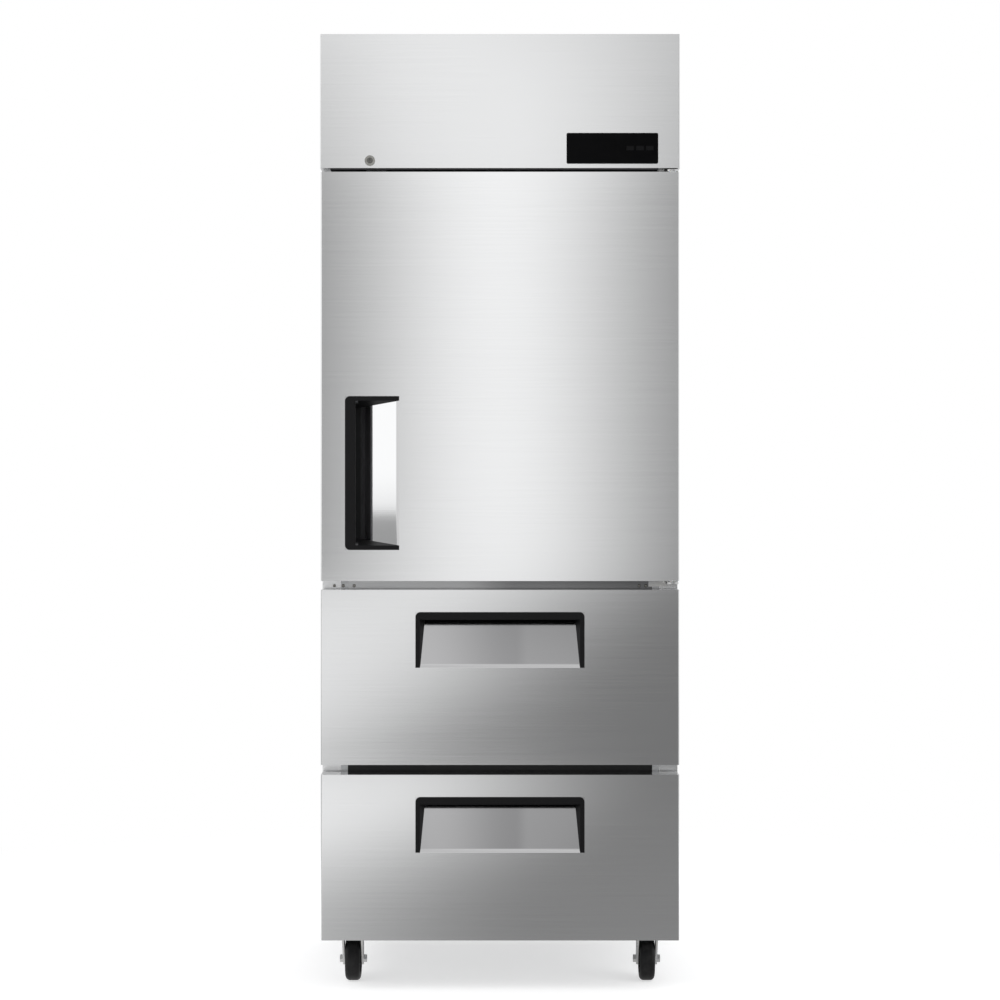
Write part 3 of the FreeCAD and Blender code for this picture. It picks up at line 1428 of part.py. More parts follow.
def filter_drier():
    """Drawn copper cartridge with tapered ends."""
    drier = new_body("filter_drier")
    neck, length = dim.drier_neck, dim.drier_length
    half_section = [
        (0, drier_front),
        (dim.line_radius, drier_front),
        (dim.drier_radius, drier_front + neck),
        (dim.drier_radius, drier_front + length - neck),
        (dim.line_radius, drier_back),
        (0, drier_back),
    ]
    profile = outline(drier, "drier_section", "XY", 0, [half_section])
    spun = drier.newObject("PartDesign::Revolution", "drier_shell")
    spun.Profile = profile
    spun.ReferenceAxis = (own_axis(drier, "Y"), [""])
    return placed(drier, drier_x, 0, outlet_z)


def refrigerant_lines():
    discharge = tube(
        "discharge_line",
        dim.line_radius,
        (discharge_x, stub_y, stub_end),
        (discharge_x, stub_y, line_top),
        (discharge_x, condenser_middle, line_top),
        (discharge_x, condenser_middle, inlet_z),
        (inlet_end, condenser_middle, inlet_z),
    )
    liquid = tube(
        "liquid_line",
        dim.line_radius,
        (inlet_end, condenser_middle, outlet_z),
        (drier_x, condenser_middle, outlet_z),
        (drier_x, drier_front, outlet_z),
    )
    capillary = tube(
        "capillary_line",
        dim.line_radius,
        (drier_x, drier_back, outlet_z),
        (drier_x, capillary_y, outlet_z),
        (drier_x, capillary_y, capillary_top),
        (drier_x, descent_y, capillary_top),
        (drier_x, descent_y, deck_top),
    )
    suction = tube(
        "suction_line",
        dim.suction_radius,
        (suction_x, stub_y, stub_end),
        (suction_x, stub_y, line_top),
        (suction_x, suction_y, line_top),
        (suction_x, suction_y, deck_top),
    )
    return group("refrigerant_lines", discharge, liquid, capillary, suction, filter_drier())


def electrical_box():
    """Folded box for the relay and the terminals, with an overlapping lid, beside the controller."""
    box = new_body("electrical_box")
    right = shell_half - dim.power_box_gap
    left = right - dim.power_box_width
    near_side = fold_back + dim.condenser_setback
    far_side = near_side + dim.power_box_depth
    top = deck_top + dim.power_box_height
    over = dim.power_box_edge
    pad(box, "power_box", "XY", deck_top, top, rect(left, near_side, right, far_side))
    lid = rect(left - over, near_side - over, right + over, far_side + over)
    pad(box, "power_box_cover", "XY", top - dim.power_box_lid, top + over, lid)
    return box


# Louvered guard across the back of the machine compartment, with the gland for the supply cord
guard_back = rear - dim.guard_setback
guard_front = guard_back - dim.sheet
guard_head = header_head - dim.guard_drop
gland_x = shell_half - dim.gland_inset
gland_z = deck_top + dim.gland_rise


def rear_guard():
    guard = new_body("rear_guard")
    pad(guard, "guard_sheet", "XZ", guard_front, guard_back, rect(-shell_half, deck_top, shell_half, guard_head))
    first = deck_top + dim.louver_foot
    step = dim.louver_width + dim.louver_gap
    slots = []
    for place in (-1, 0, 1):
        left = place * step - dim.louver_width / 2
        slots.append(rect(left, first, left + dim.louver_width, first + dim.louver_height))
    cut = pocket(guard, "louver_row", "XZ", guard_front, guard_back, *slots)
    room = guard_head - first - dim.louver_pitch
    row(guard, "louver_rows", cut, "Z", dim.louver_pitch, how_many(room, dim.louver_pitch))
    pocket(guard, "gland_hole", "XZ", guard_front, guard_back, Circle(gland_x, gland_z, dim.gland_radius))
    return guard


def cord_gland():
    """Gland with a nut on each side of the guard."""
    gland = new_body("cord_gland")
    inner, outer = guard_front - dim.gland_nut_depth, guard_back + dim.gland_nut_depth
    pad(gland, "gland_thread", "XZ", inner, outer, Circle(gland_x, gland_z, dim.gland_radius))
    nut = hexagon(gland_x, gland_z, dim.gland_nut)
    pad(gland, "gland_inner_nut", "XZ", inner, guard_front, nut)
    pad(gland, "gland_outer_nut", "XZ", guard_back, outer, nut)
    pocket(gland, "gland_bore", "XZ", inner, outer, Circle(gland_x, gland_z, dim.gland_bore))
    return gland


def hexagon(a, b, radius):
    corners = []
    for corner in range(6):
        angle = math.radians(60 * corner)
        corners.append((a + radius * round(math.cos(angle), 6), b + radius * round(math.sin(angle), 6)))
    return corners


# Casters: a bolted plate with its race and kingpin, a fork that swivels on it, a wheel on the fork's axle
race_foot = dim.caster_height - dim.caster_plate_steel - dim.race_height
crown_top = race_foot - dim.swivel_float
crown_foot = crown_top - dim.fork_crown
fork_inside = dim.wheel_width / 2 + dim.wheel_side_gap
fork_outside = fork_inside + dim.fork_steel


def caster_plate(label, x, y):
    plate = new_body(label)
    half_w, half_d = dim.caster_plate_width / 2, dim.caster_plate_depth / 2
    bolted = RoundedRect(-half_w, -half_d, half_w, half_d, dim.caster_plate_corner)
    under_plate = dim.caster_height - dim.caster_plate_steel
    pin_end = crown_foot - dim.swivel_float
    pad(plate, label + "_plate", "XY", under_plate, dim.caster_height, bolted)
    pad(plate, label + "_race", "XY", race_foot, under_plate, Circle(0, 0, dim.race_radius))
    pad(plate, label + "_kingpin", "XY", pin_end, race_foot, Circle(0, 0, dim.kingpin_radius))
    pad(plate, label + "_head", "XY", pin_end - dim.kingpin_head_depth, pin_end, Circle(0, 0, dim.kingpin_head))
    return placed(plate, x, y, 0)


def caster_fork(label, x, y):
    """Fork drawn round its swivel axis: a crown with two legs that trail back to the axle."""
    fork = new_body(label + "_legs")
    trail, axle, foot = dim.caster_trail, dim.wheel_radius, dim.fork_foot
    half = dim.fork_half
    pad(fork, label + "_crown", "XY", crown_foot, crown_top, rect(-fork_outside, -half, fork_outside, half))
    hole = Circle(0, 0, dim.kingpin_radius + dim.kingpin_clearance)
    pocket(fork, label + "_kingpin_hole", "XY", crown_foot, crown_top, hole)
    leg = [
        (-half, crown_top),
        (half, crown_top),
        (trail + foot, axle),
        (trail + foot / 2, axle - foot),
        (trail - foot / 2, axle - foot),
        (trail - foot, axle),
    ]
    pad(fork, label + "_right_leg", "YZ", fork_inside, fork_outside, leg)
    pad(fork, label + "_left_leg", "YZ", -fork_outside, -fork_inside, leg)
    shank = Circle(trail, axle, dim.axle_radius)
    pocket(fork, label + "_axle_hole", "YZ", -fork_outside, fork_outside, shank)
    bolt = new_body(label + "_axle")
    end = fork_outside + dim.axle_head_depth
    pad(bolt, label + "_shank", "YZ", -end, end, shank)
    nut = hexagon(trail, axle, dim.axle_head)
    pad(bolt, label + "_head", "YZ", fork_outside, end, nut)
    pad(bolt, label + "_nut", "YZ", -end, -fork_outside, nut)
    return group(label, placed(fork, x, y, 0), placed(bolt, x, y, 0))


def caster_wheel(label, x, y):
    """Wheel spun round its axle: hub, disc and a tread with rounded shoulders."""
    wheel = new_body(label)
    hub, disc, tread = fork_inside - dim.hub_float, dim.wheel_disc / 2, dim.wheel_width / 2
    bore, outside = dim.axle_radius + dim.axle_clearance, dim.wheel_radius
    rim = outside - dim.wheel_rim
    right_half = [(hub, bore), (hub, dim.wheel_hub), (disc, dim.wheel_hub), (disc, rim), (tread, rim), (tread, outside)]
    section = right_half + [(-along, radius) for along, radius in reversed(right_half)]
    profile = outline(wheel, label + "_section", "XY", 0, [section])
    spun = wheel.newObject("PartDesign::Revolution", label + "_spin")
    spun.Profile = profile
    spun.ReferenceAxis = (own_axis(wheel, "X"), [""])
    rounded(
        wheel,
        label + "_shoulders",
        dim.wheel_round,
        lambda edge: edge.Curve.TypeId == "Part::GeomCircle" and near(edge.Curve.Radius, outside),
    )
    return placed(wheel, x, y + dim.caster_trail, dim.wheel_radius)


caster_x = half_width - dim.caster_inset
front_caster_y = frame_face + dim.front_caster_setback
rear_caster_y = rear - dim.rear_caster_inset
CORNERS = [
    ("front_left", -caster_x, front_caster_y),
    ("front_right", caster_x, front_caster_y),
    ("rear_left", -caster_x, rear_caster_y),
    ("rear_right", caster_x, rear_caster_y),
]

keep(side_panels())
keep(base_pan())
keep(machine_deck())
keep(back_panel())
keep(cabinet_foam())
keep(cabinet_liner())
keep(face_frame())
keep(group("mullions", mullion("lower_mullion", lower_mullion_middle), mullion("upper_mullion", upper_mullion_middle)))
keep(header_panel())
keep(controller_bezel())
for place in range(3):
    keep(controller_key(place))
keep(lock_body())
keep(lock_barrel())
keep(group("hinge_brackets", hinge_bracket("lower_hinge", door_foot, -1), hinge_bracket("upper_hinge", door_head, 1)))
for piece in door():
    keep(piece)
for piece in drawer_front("upper_drawer", upper_drawer_foot, upper_drawer_head):
    keep(piece)
for piece in drawer_front("lower_drawer", lower_drawer_foot, lower_drawer_head):
    keep(piece)
keep(outer_rails())
for name, floor, height in (
    ("upper_drawer", upper_tub_floor, dim.upper_tub_height),
    ("lower_drawer", lower_tub_floor, dim.lower_tub_height),
):
    keep(middle_rails(name, floor))
    keep(drawer_box(name, floor, height))
keep(shelf_supports())
keep(
    group(
        "wire_shelves",
        wire_shelf("lower_shelf", pilaster_foot + dim.lower_shelf_rise),
        wire_shelf("upper_shelf", pilaster_foot + dim.upper_shelf_rise),
    )
)
keep(evaporator_cover())
keep(evaporator_coil())
keep(condenser_coil())
keep(condenser_shroud())
keep(
    group(
        "fan_motors",
        fan_motor(
            "evaporator_motor",
            dim.small_fan_radius + dim.fan_tip_gap,
            -dim.motor_gap,
            0,
            small_fan_y,
            small_fan_z,
        ),
        fan_motor(
            "condenser_motor",
            dim.large_fan_radius + dim.fan_tip_gap,
            dim.motor_gap,
            large_fan_x,
            large_fan_y,
            large_fan_z,
        ),
    )
)
keep(fan("evaporator_fan", dim.small_fan_radius, 4, 0, small_fan_y, small_fan_z))
keep(fan("condenser_fan", dim.large_fan_radius, 5, large_fan_x, large_fan_y, large_fan_z))
keep(compressor())
keep(refrigerant_lines())
keep(electrical_box())
keep(rear_guard())
keep(cord_gland())
keep(group("caster_plates", *(caster_plate(f"{place}_caster_plate", x, y) for place, x, y in CORNERS)))
for place, x, y in CORNERS:
    keep(caster_fork(f"{place}_fork", x, y))
    keep(caster_wheel(f"{place}_wheel", x, y))

doc.recompute()
faults = [item.Label for item in doc.Objects if "Invalid" in item.State or "Error" in item.State]
faults += [item.Label for item in nodes if item.Shape.isNull() or not item.Shape.isValid()]
if faults:
    raise SystemExit(f"failed: {faults}")
os.makedirs("parts", exist_ok=True)
for node in nodes:
    node.Shape.exportStep(f"parts/{node.Label}.step")
    print(node.Label, len(node.Shape.Solids), round(node.Shape.Volume))
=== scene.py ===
import math

import bmesh
import bpy
from mathutils import Matrix, Vector
from mathutils.bvhtree import BVHTree


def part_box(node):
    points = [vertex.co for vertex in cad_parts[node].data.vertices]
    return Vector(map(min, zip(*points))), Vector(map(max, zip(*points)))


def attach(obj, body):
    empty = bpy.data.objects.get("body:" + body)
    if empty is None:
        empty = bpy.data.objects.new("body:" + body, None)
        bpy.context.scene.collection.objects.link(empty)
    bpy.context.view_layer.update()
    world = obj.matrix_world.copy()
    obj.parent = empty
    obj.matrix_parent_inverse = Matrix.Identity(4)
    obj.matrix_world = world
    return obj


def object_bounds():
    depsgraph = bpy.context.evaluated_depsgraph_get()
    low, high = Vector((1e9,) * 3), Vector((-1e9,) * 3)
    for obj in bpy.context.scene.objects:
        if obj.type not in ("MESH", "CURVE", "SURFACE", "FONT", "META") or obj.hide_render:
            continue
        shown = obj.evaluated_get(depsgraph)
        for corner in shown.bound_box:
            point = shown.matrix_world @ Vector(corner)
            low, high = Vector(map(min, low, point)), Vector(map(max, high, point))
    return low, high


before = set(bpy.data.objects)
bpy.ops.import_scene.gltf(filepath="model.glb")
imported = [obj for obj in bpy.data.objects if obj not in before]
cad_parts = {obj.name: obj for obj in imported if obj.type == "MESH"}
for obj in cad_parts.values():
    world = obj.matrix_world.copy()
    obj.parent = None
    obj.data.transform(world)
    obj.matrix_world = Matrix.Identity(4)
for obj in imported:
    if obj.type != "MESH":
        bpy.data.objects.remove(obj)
cad_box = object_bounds()


# Side panels: stainless sheets, brushed front to back at the mill and folded in at the front to make
# the stiles that the gaskets close on. They carry the cabinet and stay bare metal.
class Shade:
    """A value in a material's node tree; sums and products of values add their Math nodes."""

    def __init__(self, tree, socket=None):
        self.tree = tree
        self.socket = socket

    def node(self, kind, settings=None, inputs=None, output=0):
        """Adds a node: its settings first, then the values or links of its sockets."""
        made = self.tree.nodes.new(kind)
        for name, value in (settings or {}).items():
            setattr(made, name, value)
        for name, value in (inputs or {}).items():
            if isinstance(value, Shade):
                self.tree.links.new(value.socket, made.inputs[name])
            else:
                made.inputs[name].default_value = value
        return Shade(self.tree, made.outputs[output])

    def maths(self, operation, first, second):
        return self.node("ShaderNodeMath", {"operation": operation}, {0: first, 1: second})

    def __add__(self, other):
        return self.maths("ADD", self, other)

    def __radd__(self, other):
        return self.maths("ADD", other, self)

    def __sub__(self, other):
        return self.maths("SUBTRACT", self, other)

    def __rsub__(self, other):
        return self.maths("SUBTRACT", other, self)

    def __mul__(self, other):
        return self.maths("MULTIPLY", self, other)

    def __rmul__(self, other):
        return self.maths("MULTIPLY", other, self)


def new_finish(name, constants):
    """A material with constants on its surface, and the place of a point on its piece, in metres."""
    material = bpy.data.materials.new(name)
    material.use_nodes = True
    surface = material.node_tree.nodes["Principled BSDF"]
    for socket, value in constants.items():
        surface.inputs[socket].default_value = value
    place = Shade(material.node_tree).node("ShaderNodeTexCoord", output="Object")
    return material, surface, place


def lay(surface, **patterns):
    """Links patterns to the sockets of a surface: base_color goes to Base Color, and so on."""
    for name, pattern in patterns.items():
        socket = surface.inputs[name.replace("_", " ").title()]
        pattern.tree.links.new(pattern.socket, socket)


def grain(place, scale, detail):
    """Cloudy noise, even all ways at one scale; three unequal scales draw it out into streaks."""
    scales = (scale, scale, scale) if isinstance(scale, float) else scale
    drawn_out = place.node("ShaderNodeMapping", None, {"Vector": place, "Scale": scales})
    return place.node("ShaderNodeTexNoise", None, {"Vector": drawn_out, "Scale": 1.0, "Detail": detail})


def between(value, start, end):
    """0 up to the start, 1 from the end on, and a smooth step between them; either may be the larger."""
    settings = {"interpolation_type": "SMOOTHSTEP"}
    return value.node("ShaderNodeMapRange", settings, {"Value": value, "From Min": start, "From Max": end})


def tint(share, first, second):
    """The first colour where the share is 0, the second where it is 1."""
    factor, first_colour, second_colour, mixed_colour = 0, 6, 7, 2
    ends = {factor: share}
    for socket, colour in ((first_colour, first), (second_colour, second)):
        ends[socket] = colour if isinstance(colour, Shade) else (*colour, 1.0)
    return share.node("ShaderNodeMix", {"data_type": "RGBA"}, ends, mixed_colour)


def relief(height, strength, depth, normal=None):
    """Bumps on a surface, or on the leaning normal that is given for it."""
    bumps = {"Strength": strength, "Distance": depth, "Height": height}
    if normal is not None:
        bumps["Normal"] = normal
    return height.node("ShaderNodeBump", None, bumps)


def bare_metal(name, anisotropy):
    return new_finish(name, {"Metallic": 1.0, "Anisotropic": anisotropy, "Anisotropic Rotation": 0.25})


def brush_marks(place, colour, roughness, strokes, normal=None):
    """Colour, roughness and relief of brush strokes with a few scratches and faint clouds from wiping."""
    fine = grain(place, strokes, 3.0)
    broad = grain(place, [0.35 * scale for scale in strokes], 2.0)
    scratch = between(grain(place, [0.8 * scale for scale in strokes], 1.0), 0.72, 0.80)
    wiped = grain(place, (2.6, 2.6, 1.7), 3.0)
    stroke = fine * 0.65 + broad * 0.35
    darker = [0.975 * part for part in colour]
    lighter = [min(1.0, 1.02 * part) for part in colour]
    return (
        tint(between(stroke, 0.3, 0.7), darker, lighter),
        stroke * 0.05 + scratch * 0.02 + wiped * 0.03 + (roughness - 0.04),
        relief(stroke - scratch * 0.1, 0.02, 0.0002, normal),
    )


LEVEL_STROKES = (6.0, 6.0, 1500.0)


def brushed(name, colour, roughness, anisotropy=0.35, strokes=LEVEL_STROKES):
    metal, surface, place = bare_metal(name, anisotropy)
    tone, gloss, marks = brush_marks(place, colour, roughness, strokes)
    lay(surface, base_color=tone, roughness=gloss, normal=marks)
    return metal


def dress(finish, *nodes):
    for node in nodes:
        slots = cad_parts[node].data.materials
        slots.clear()
        slots.append(finish)


STEEL = (0.775, 0.78, 0.785)
dress(brushed("brushed_stainless", STEEL, 0.26), "side_panels")

# Base pan, machine deck, back panel and the louvered guard: hot-dipped galvanised sheet with its
# crystal spangle, screwed to the side panels with pan heads along the edges.
galvanised_sheet, surface, place = new_finish("galvanised_sheet", {"Metallic": 1.0})
crystal = place.node("ShaderNodeTexVoronoi", None, {"Vector": place, "Scale": 120.0}, "Color")
crystal_tone = place.node("ShaderNodeSeparateColor", None, {"Color": crystal})
feather = grain(place, 240.0, 2.0)
bloom = grain(place, 3.0, 4.0)
shine = crystal_tone * 0.7 + feather * 0.3
lay(
    surface,
    base_color=tint(shine, (0.480, 0.496, 0.512), (0.60, 0.62, 0.64)),
    roughness=shine * 0.16 + bloom * 0.12 + 0.30,
    normal=relief(shine, 0.04, 0.0002),
)
dress(galvanised_sheet, "base_pan", "machine_deck", "back_panel", "rear_guard")


def new_object(shape, name, finish):
    """Turns a bmesh into an object of the scene."""
    mesh = bpy.data.meshes.new(name)
    shape.to_mesh(mesh)
    shape.free()
    mesh.materials.append(finish)
    made = bpy.data.objects.new(name, mesh)
    bpy.context.scene.collection.objects.link(made)
    return made


def add_piece(shape, name, finish, body):
    """Adds a piece that rides on a body of the frame."""
    piece = new_object(shape, name, finish)
    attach(piece, body)


def seats(node, starts, facing):
    """Where lines that run against a facing first meet the surface of a node."""
    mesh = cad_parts[node].data
    points = [vertex.co for vertex in mesh.vertices]
    skin = BVHTree.FromPolygons(points, [face.vertices for face in mesh.polygons])
    return [skin.ray_cast(Vector(start), -Vector(facing))[0] for start in starts]


def heads(places, facing, radius, sides=16, crown=0.7, drive=0.25):
    """Heads of screws, bolts or rivets. The crown and the depth of the drive are shares of the radius."""
    shape = bmesh.new()
    outward = Vector(facing)
    turn = Vector((0, 0, 1)).rotation_difference(outward).to_matrix().to_4x4()
    height = radius * 0.6
    for spot in places:
        seat = Matrix.Translation(spot + outward * height / 2)
        bmesh.ops.create_cone(
            shape,
            cap_ends=True,
            segments=sides,
            radius1=radius,
            radius2=radius * crown,
            depth=height,
            matrix=seat @ turn,
        )
    shape.normal_update()
    tops = [face for face in shape.faces if face.normal.dot(outward) > 0.99]
    bmesh.ops.inset_individual(shape, faces=tops, thickness=radius * 0.32, depth=0.0)
    if drive:
        bmesh.ops.inset_individual(shape, faces=tops, thickness=radius * 0.05, depth=-radius * drive)
    return shape


zinc_screw = brushed("zinc_screw", (0.66, 0.66, 0.64), 0.34, 0.0, (300.0, 300.0, 300.0))
BACKWARD = (0, 1, 0)
clear_of_node = 0.1
screw_inset = 0.014
lowest_screw = 0.03
screw_pitch = 0.149
edge_places = (-0.23, -0.08, 0.08, 0.23)
guard_shares = (0.06, 0.48, 0.90)
low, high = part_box("back_panel")
back_start = high.y + clear_of_node
side_columns = (low.x + screw_inset, high.x - screw_inset)
column_rows = [low.z + lowest_screw + screw_pitch * step for step in range(11)]
edge_rows = (low.z + screw_inset, high.z - screw_inset)
panel_starts = [(x, back_start, z) for x in side_columns for z in column_rows]
panel_starts += [(x, back_start, z) for x in edge_places for z in edge_rows]
back_places = seats("back_panel", panel_starts, BACKWARD)
low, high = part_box("rear_guard")
guard_rows = [low.z + share * (high.z - low.z) for share in guard_shares]
guard_starts = [(x, back_start, z) for x in side_columns for z in guard_rows]
back_places += seats("rear_guard", guard_starts, BACKWARD)
add_piece(heads(back_places, BACKWARD, radius=0.0042), "back_screws", zinc_screw, "cabinet")

# Insulation and liner: rigid foam poured between the shell and a box of stucco-embossed aluminium,
# which has coved corners so that it wipes clean.
foam, surface, place = new_finish("poured_foam", {"Metallic": 0.0})
pores = place.node("ShaderNodeTexVoronoi", None, {"Vector": place, "Scale": 420.0})
cloud = grain(place, 14.0, 4.0)
lay(
    surface,
    base_color=tint(cloud, (0.74, 0.63, 0.40), (0.86, 0.78, 0.56)),
    roughness=cloud * 0.15 + 0.75,
    normal=relief(pores, 0.4, 0.0008),
)
dress(foam, "cabinet_foam", "door_foam", "upper_drawer_foam", "lower_drawer_foam")

liner, surface, place = new_finish("embossed_liner", {"Metallic": 1.0})
pebble = place.node("ShaderNodeTexVoronoi", {"feature": "SMOOTH_F1"}, {"Vector": place, "Scale": 170.0})
haze = grain(place, 3.0, 3.0)
lay(
    surface,
    base_color=tint(haze, (0.74, 0.75, 0.76), (0.82, 0.83, 0.84)),
    roughness=haze * 0.14 + 0.32,
    normal=relief(pebble, 0.35, 0.0012),
)
dress(liner, "cabinet_liner")


# Face frame and mullions: the thermal break round the opening and the two insulated bars across it.
# The frame is silver plastic. The upper bar is faced with steel, which is darkened towards its right
# end by painted reflection and shade. The lower one is painted near black: painted shade for the
# deep gap between the drawers.
def axes_of(place):
    """The three coordinates of a place, x, y and z."""
    return [place.node("ShaderNodeSeparateXYZ", None, {"Vector": place}, axis) for axis in "XYZ"]


bar_facing, surface, place = new_finish("mullion_facing", {"Specular IOR Level": 0.3})
across, _, level = axes_of(place)
mould = grain(place, 900.0, 2.0)
haze = grain(place, 6.0, 3.0)
low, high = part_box("mullions")
bars_part = (low.z + high.z) / 2
half_step = 0.005
upper_bar = between(level, bars_part - half_step, bars_part + half_step)
# painted reflection and shade: the steel facing gets darker towards its right end
darkening_starts, darkening_deepens = (-0.09, 0.04), (0.10, 0.34)
painted_darkening = between(across, *darkening_starts) * 0.75 + between(across, *darkening_deepens) * 0.25
unshaded_tone = tint(haze, (0.57, 0.575, 0.58), (0.65, 0.655, 0.66))
steel_tone = tint(painted_darkening, unshaded_tone, (0.22, 0.22, 0.225))
lay(
    surface,
    # the lower bar's near-black is painted shade for the deep gap between the drawers
    base_color=tint(upper_bar, (0.027, 0.027, 0.028), steel_tone),
    metallic=upper_bar,
    roughness=haze * 0.10 + 0.28,
    normal=relief(mould, 0.08, 0.0002),
)
dress(bar_facing, "mullions")

silver_plastic, surface, place = new_finish("face_frame_silver", {"Metallic": 0.85})
mould = grain(place, 900.0, 2.0)
haze = grain(place, 6.0, 3.0)
lay(
    surface,
    base_color=tint(haze, (0.76, 0.77, 0.78), (0.82, 0.83, 0.84)),
    roughness=haze * 0.12 + 0.36,
    normal=relief(mould, 0.12, 0.0002),
)
dress(silver_plastic, "face_frame")

# Casters: a pressed plate bolted under the base pan, a swivelling fork of bright zinc and a black
# tyre moulded on a nylon wheel that turns on the fork's axle bolt.
bright_zinc, surface, place = new_finish("bright_zinc", {"Metallic": 1.0})
passivated = grain(place, 45.0, 3.0)
pressed = grain(place, (420.0, 420.0, 140.0), 3.0)
lay(
    surface,
    base_color=tint(passivated, (0.58, 0.59, 0.62), (0.76, 0.75, 0.71)),
    roughness=passivated * 0.12 + pressed * 0.10 + 0.18,
    normal=relief(pressed, 0.08, 0.0004),
)
corners = ("front_left", "front_right", "rear_left", "rear_right")
dress(bright_zinc, "caster_plates", *(corner + "_fork" for corner in corners))

tyre, surface, place = new_finish("caster_tyre", {"Metallic": 0.0, "Specular IOR Level": 0.25})
scuff = grain(place, 60.0, 4.0)
rubber = grain(place, 700.0, 2.0)
dusty = between(scuff, 0.45, 0.75) * 0.5
lay(
    surface,
    base_color=tint(dusty, (0.007, 0.007, 0.0075), (0.026, 0.0255, 0.0245)),
    roughness=scuff * 0.2 + 0.38,
    normal=relief(rubber * 0.5 + scuff * 0.5, 0.2, 0.0006),
)
dress(tyre, *(corner + "_wheel" for corner in corners))


def bolt_heads(places, facing):
    """Plain hexagon heads, 13 mm over their corners."""
    return heads(places, facing, radius=0.0065, sides=6, crown=0.97, drive=0.0)


DOWNWARD = (0, 0, -1)
floor_level = 0.0
caster_trail = 0.028
bolt_across, bolt_along = 0.034, 0.026
bolt_starts = []
for corner in corners:
    low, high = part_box(corner + "_wheel")
    swivel = (low + high) / 2 - Vector((0, caster_trail, 0))
    bolt_columns = (swivel.x - bolt_across, swivel.x + bolt_across)
    bolt_rows = (swivel.y - bolt_along, swivel.y + bolt_along)
    bolt_starts += [(x, y, floor_level) for x in bolt_columns for y in bolt_rows]
bolt_places = seats("caster_plates", bolt_starts, DOWNWARD)
add_piece(bolt_heads(bolt_places, DOWNWARD), "caster_bolts", zinc_screw, "cabinet")


# Header: a folded stainless panel over the machine compartment, brushed along its width and hooked over
# the stiles. It isn't quite upright, so it mirrors a higher part of the room than the door below it.
def leaning(place, lean):
    """The normal of a sheet that leans back by a small share."""
    upright = place.node("ShaderNodeNewGeometry", output="Normal")
    tipped = place.node("ShaderNodeCombineXYZ", None, {"Z": lean})
    slanted = place.node("ShaderNodeVectorMath", {"operation": "ADD"}, {0: upright, 1: tipped})
    return place.node("ShaderNodeVectorMath", {"operation": "NORMALIZE"}, {0: slanted})


header_lean = 0.048
header_steel, surface, place = bare_metal("header_stainless", 0.2)
tone, gloss, marks = brush_marks(place, STEEL, 0.20, LEVEL_STROKES, leaning(place, header_lean))
lay(surface, base_color=tone, roughness=gloss, normal=marks)
dress(header_steel, "header_panel")

# Controller: a gloss black bezel with a sunk window, injection moulded, and three satin keys that
# travel in it. It is clipped into a cut-out of the header.
bezel, surface, place = new_finish("controller_gloss", {"Metallic": 0.0, "Specular IOR Level": 0.04})
smear = grain(place, (38.0, 38.0, 60.0), 4.0)
lay(
    surface,
    base_color=tint(smear, (0.0010, 0.0010, 0.0012), (0.0022, 0.0022, 0.0024)),
    roughness=between(smear, 0.4, 0.8) * 0.14 + 0.12,
)
dress(bezel, "controller_bezel")

keys, surface, place = new_finish("controller_keys", {"Metallic": 0.0, "Specular IOR Level": 0.08})
mould = grain(place, 1500.0, 2.0)
lay(
    surface,
    base_color=tint(mould, (0.0025, 0.0025, 0.0028), (0.0055, 0.0055, 0.0060)),
    roughness=mould * 0.2 + 0.35,
    normal=relief(mould, 0.15, 0.0001),
)
dress(keys, "controller_key_1", "controller_key_2", "controller_key_3")


# Lock: a nickel-plated cam lock pushed through the header and held by a nut behind it, with a turned
# face and a keyway in its barrel, which is worn dark by the key.
def turned_metal(name, darker, lighter):
    """Plated metal with the fine rings that turning leaves round the lock's axis."""
    plate, surface, place = new_finish(name, {"Metallic": 1.0})
    low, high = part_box("lock_body")
    centred = place.node("ShaderNodeMapping", None, {"Vector": place, "Location": -(low + high) / 2})
    rings = place.node(
        "ShaderNodeTexWave",
        {"wave_type": "RINGS", "rings_direction": "Y"},
        {"Vector": centred, "Scale": 900.0, "Distortion": 0.6},
    )
    worn = grain(place, 220.0, 3.0)
    lay(
        surface,
        base_color=tint(worn, darker, lighter),
        roughness=rings * 0.06 + worn * 0.10 + 0.16,
        normal=relief(rings, 0.05, 0.0001),
    )
    return plate


dress(turned_metal("satin_nickel", (0.31, 0.31, 0.29), (0.45, 0.445, 0.42)), "lock_body")
dress(turned_metal("worn_barrel", (0.13, 0.13, 0.122), (0.22, 0.218, 0.206)), "lock_barrel")

# Hinges: zinc-plated brackets screwed to the stile, with pins that run in nylon bushes in the door.
# Screws of the same pattern show at both ends of the bar below the door.
dress(bright_zinc, "hinge_brackets")
nylon, surface, place = new_finish("nylon_bush", {"Metallic": 0.0, "Subsurface Weight": 0.1})
milky = grain(place, 160.0, 3.0)
lay(
    surface,
    base_color=tint(milky, (0.74, 0.73, 0.68), (0.83, 0.82, 0.78)),
    roughness=milky * 0.15 + 0.35,
)
dress(nylon, "door_bushes")

FORWARD = (0, -1, 0)
dark_nickel = turned_metal("dark_nickel", (0.20, 0.195, 0.18), (0.30, 0.29, 0.27))
left_insets = (("side_panels", 0.0243), ("face_frame", 0.0425), ("mullions", 0.065))
right_insets = (("mullions", 0.065), ("mullions", 0.079))
front_start = cad_box[0].y - clear_of_node
above_foot = 0.0015
screw_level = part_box("hinge_brackets")[0].z + above_foot
hinge_places = []
for node, inset in left_insets:
    hinge_places += seats(node, [(cad_box[0].x + inset, front_start, screw_level)], FORWARD)
for node, inset in right_insets:
    hinge_places += seats(node, [(cad_box[1].x - inset, front_start, screw_level)], FORWARD)
add_piece(heads(hinge_places, FORWARD, radius=0.0034), "hinge_screws", dark_nickel, "cabinet")

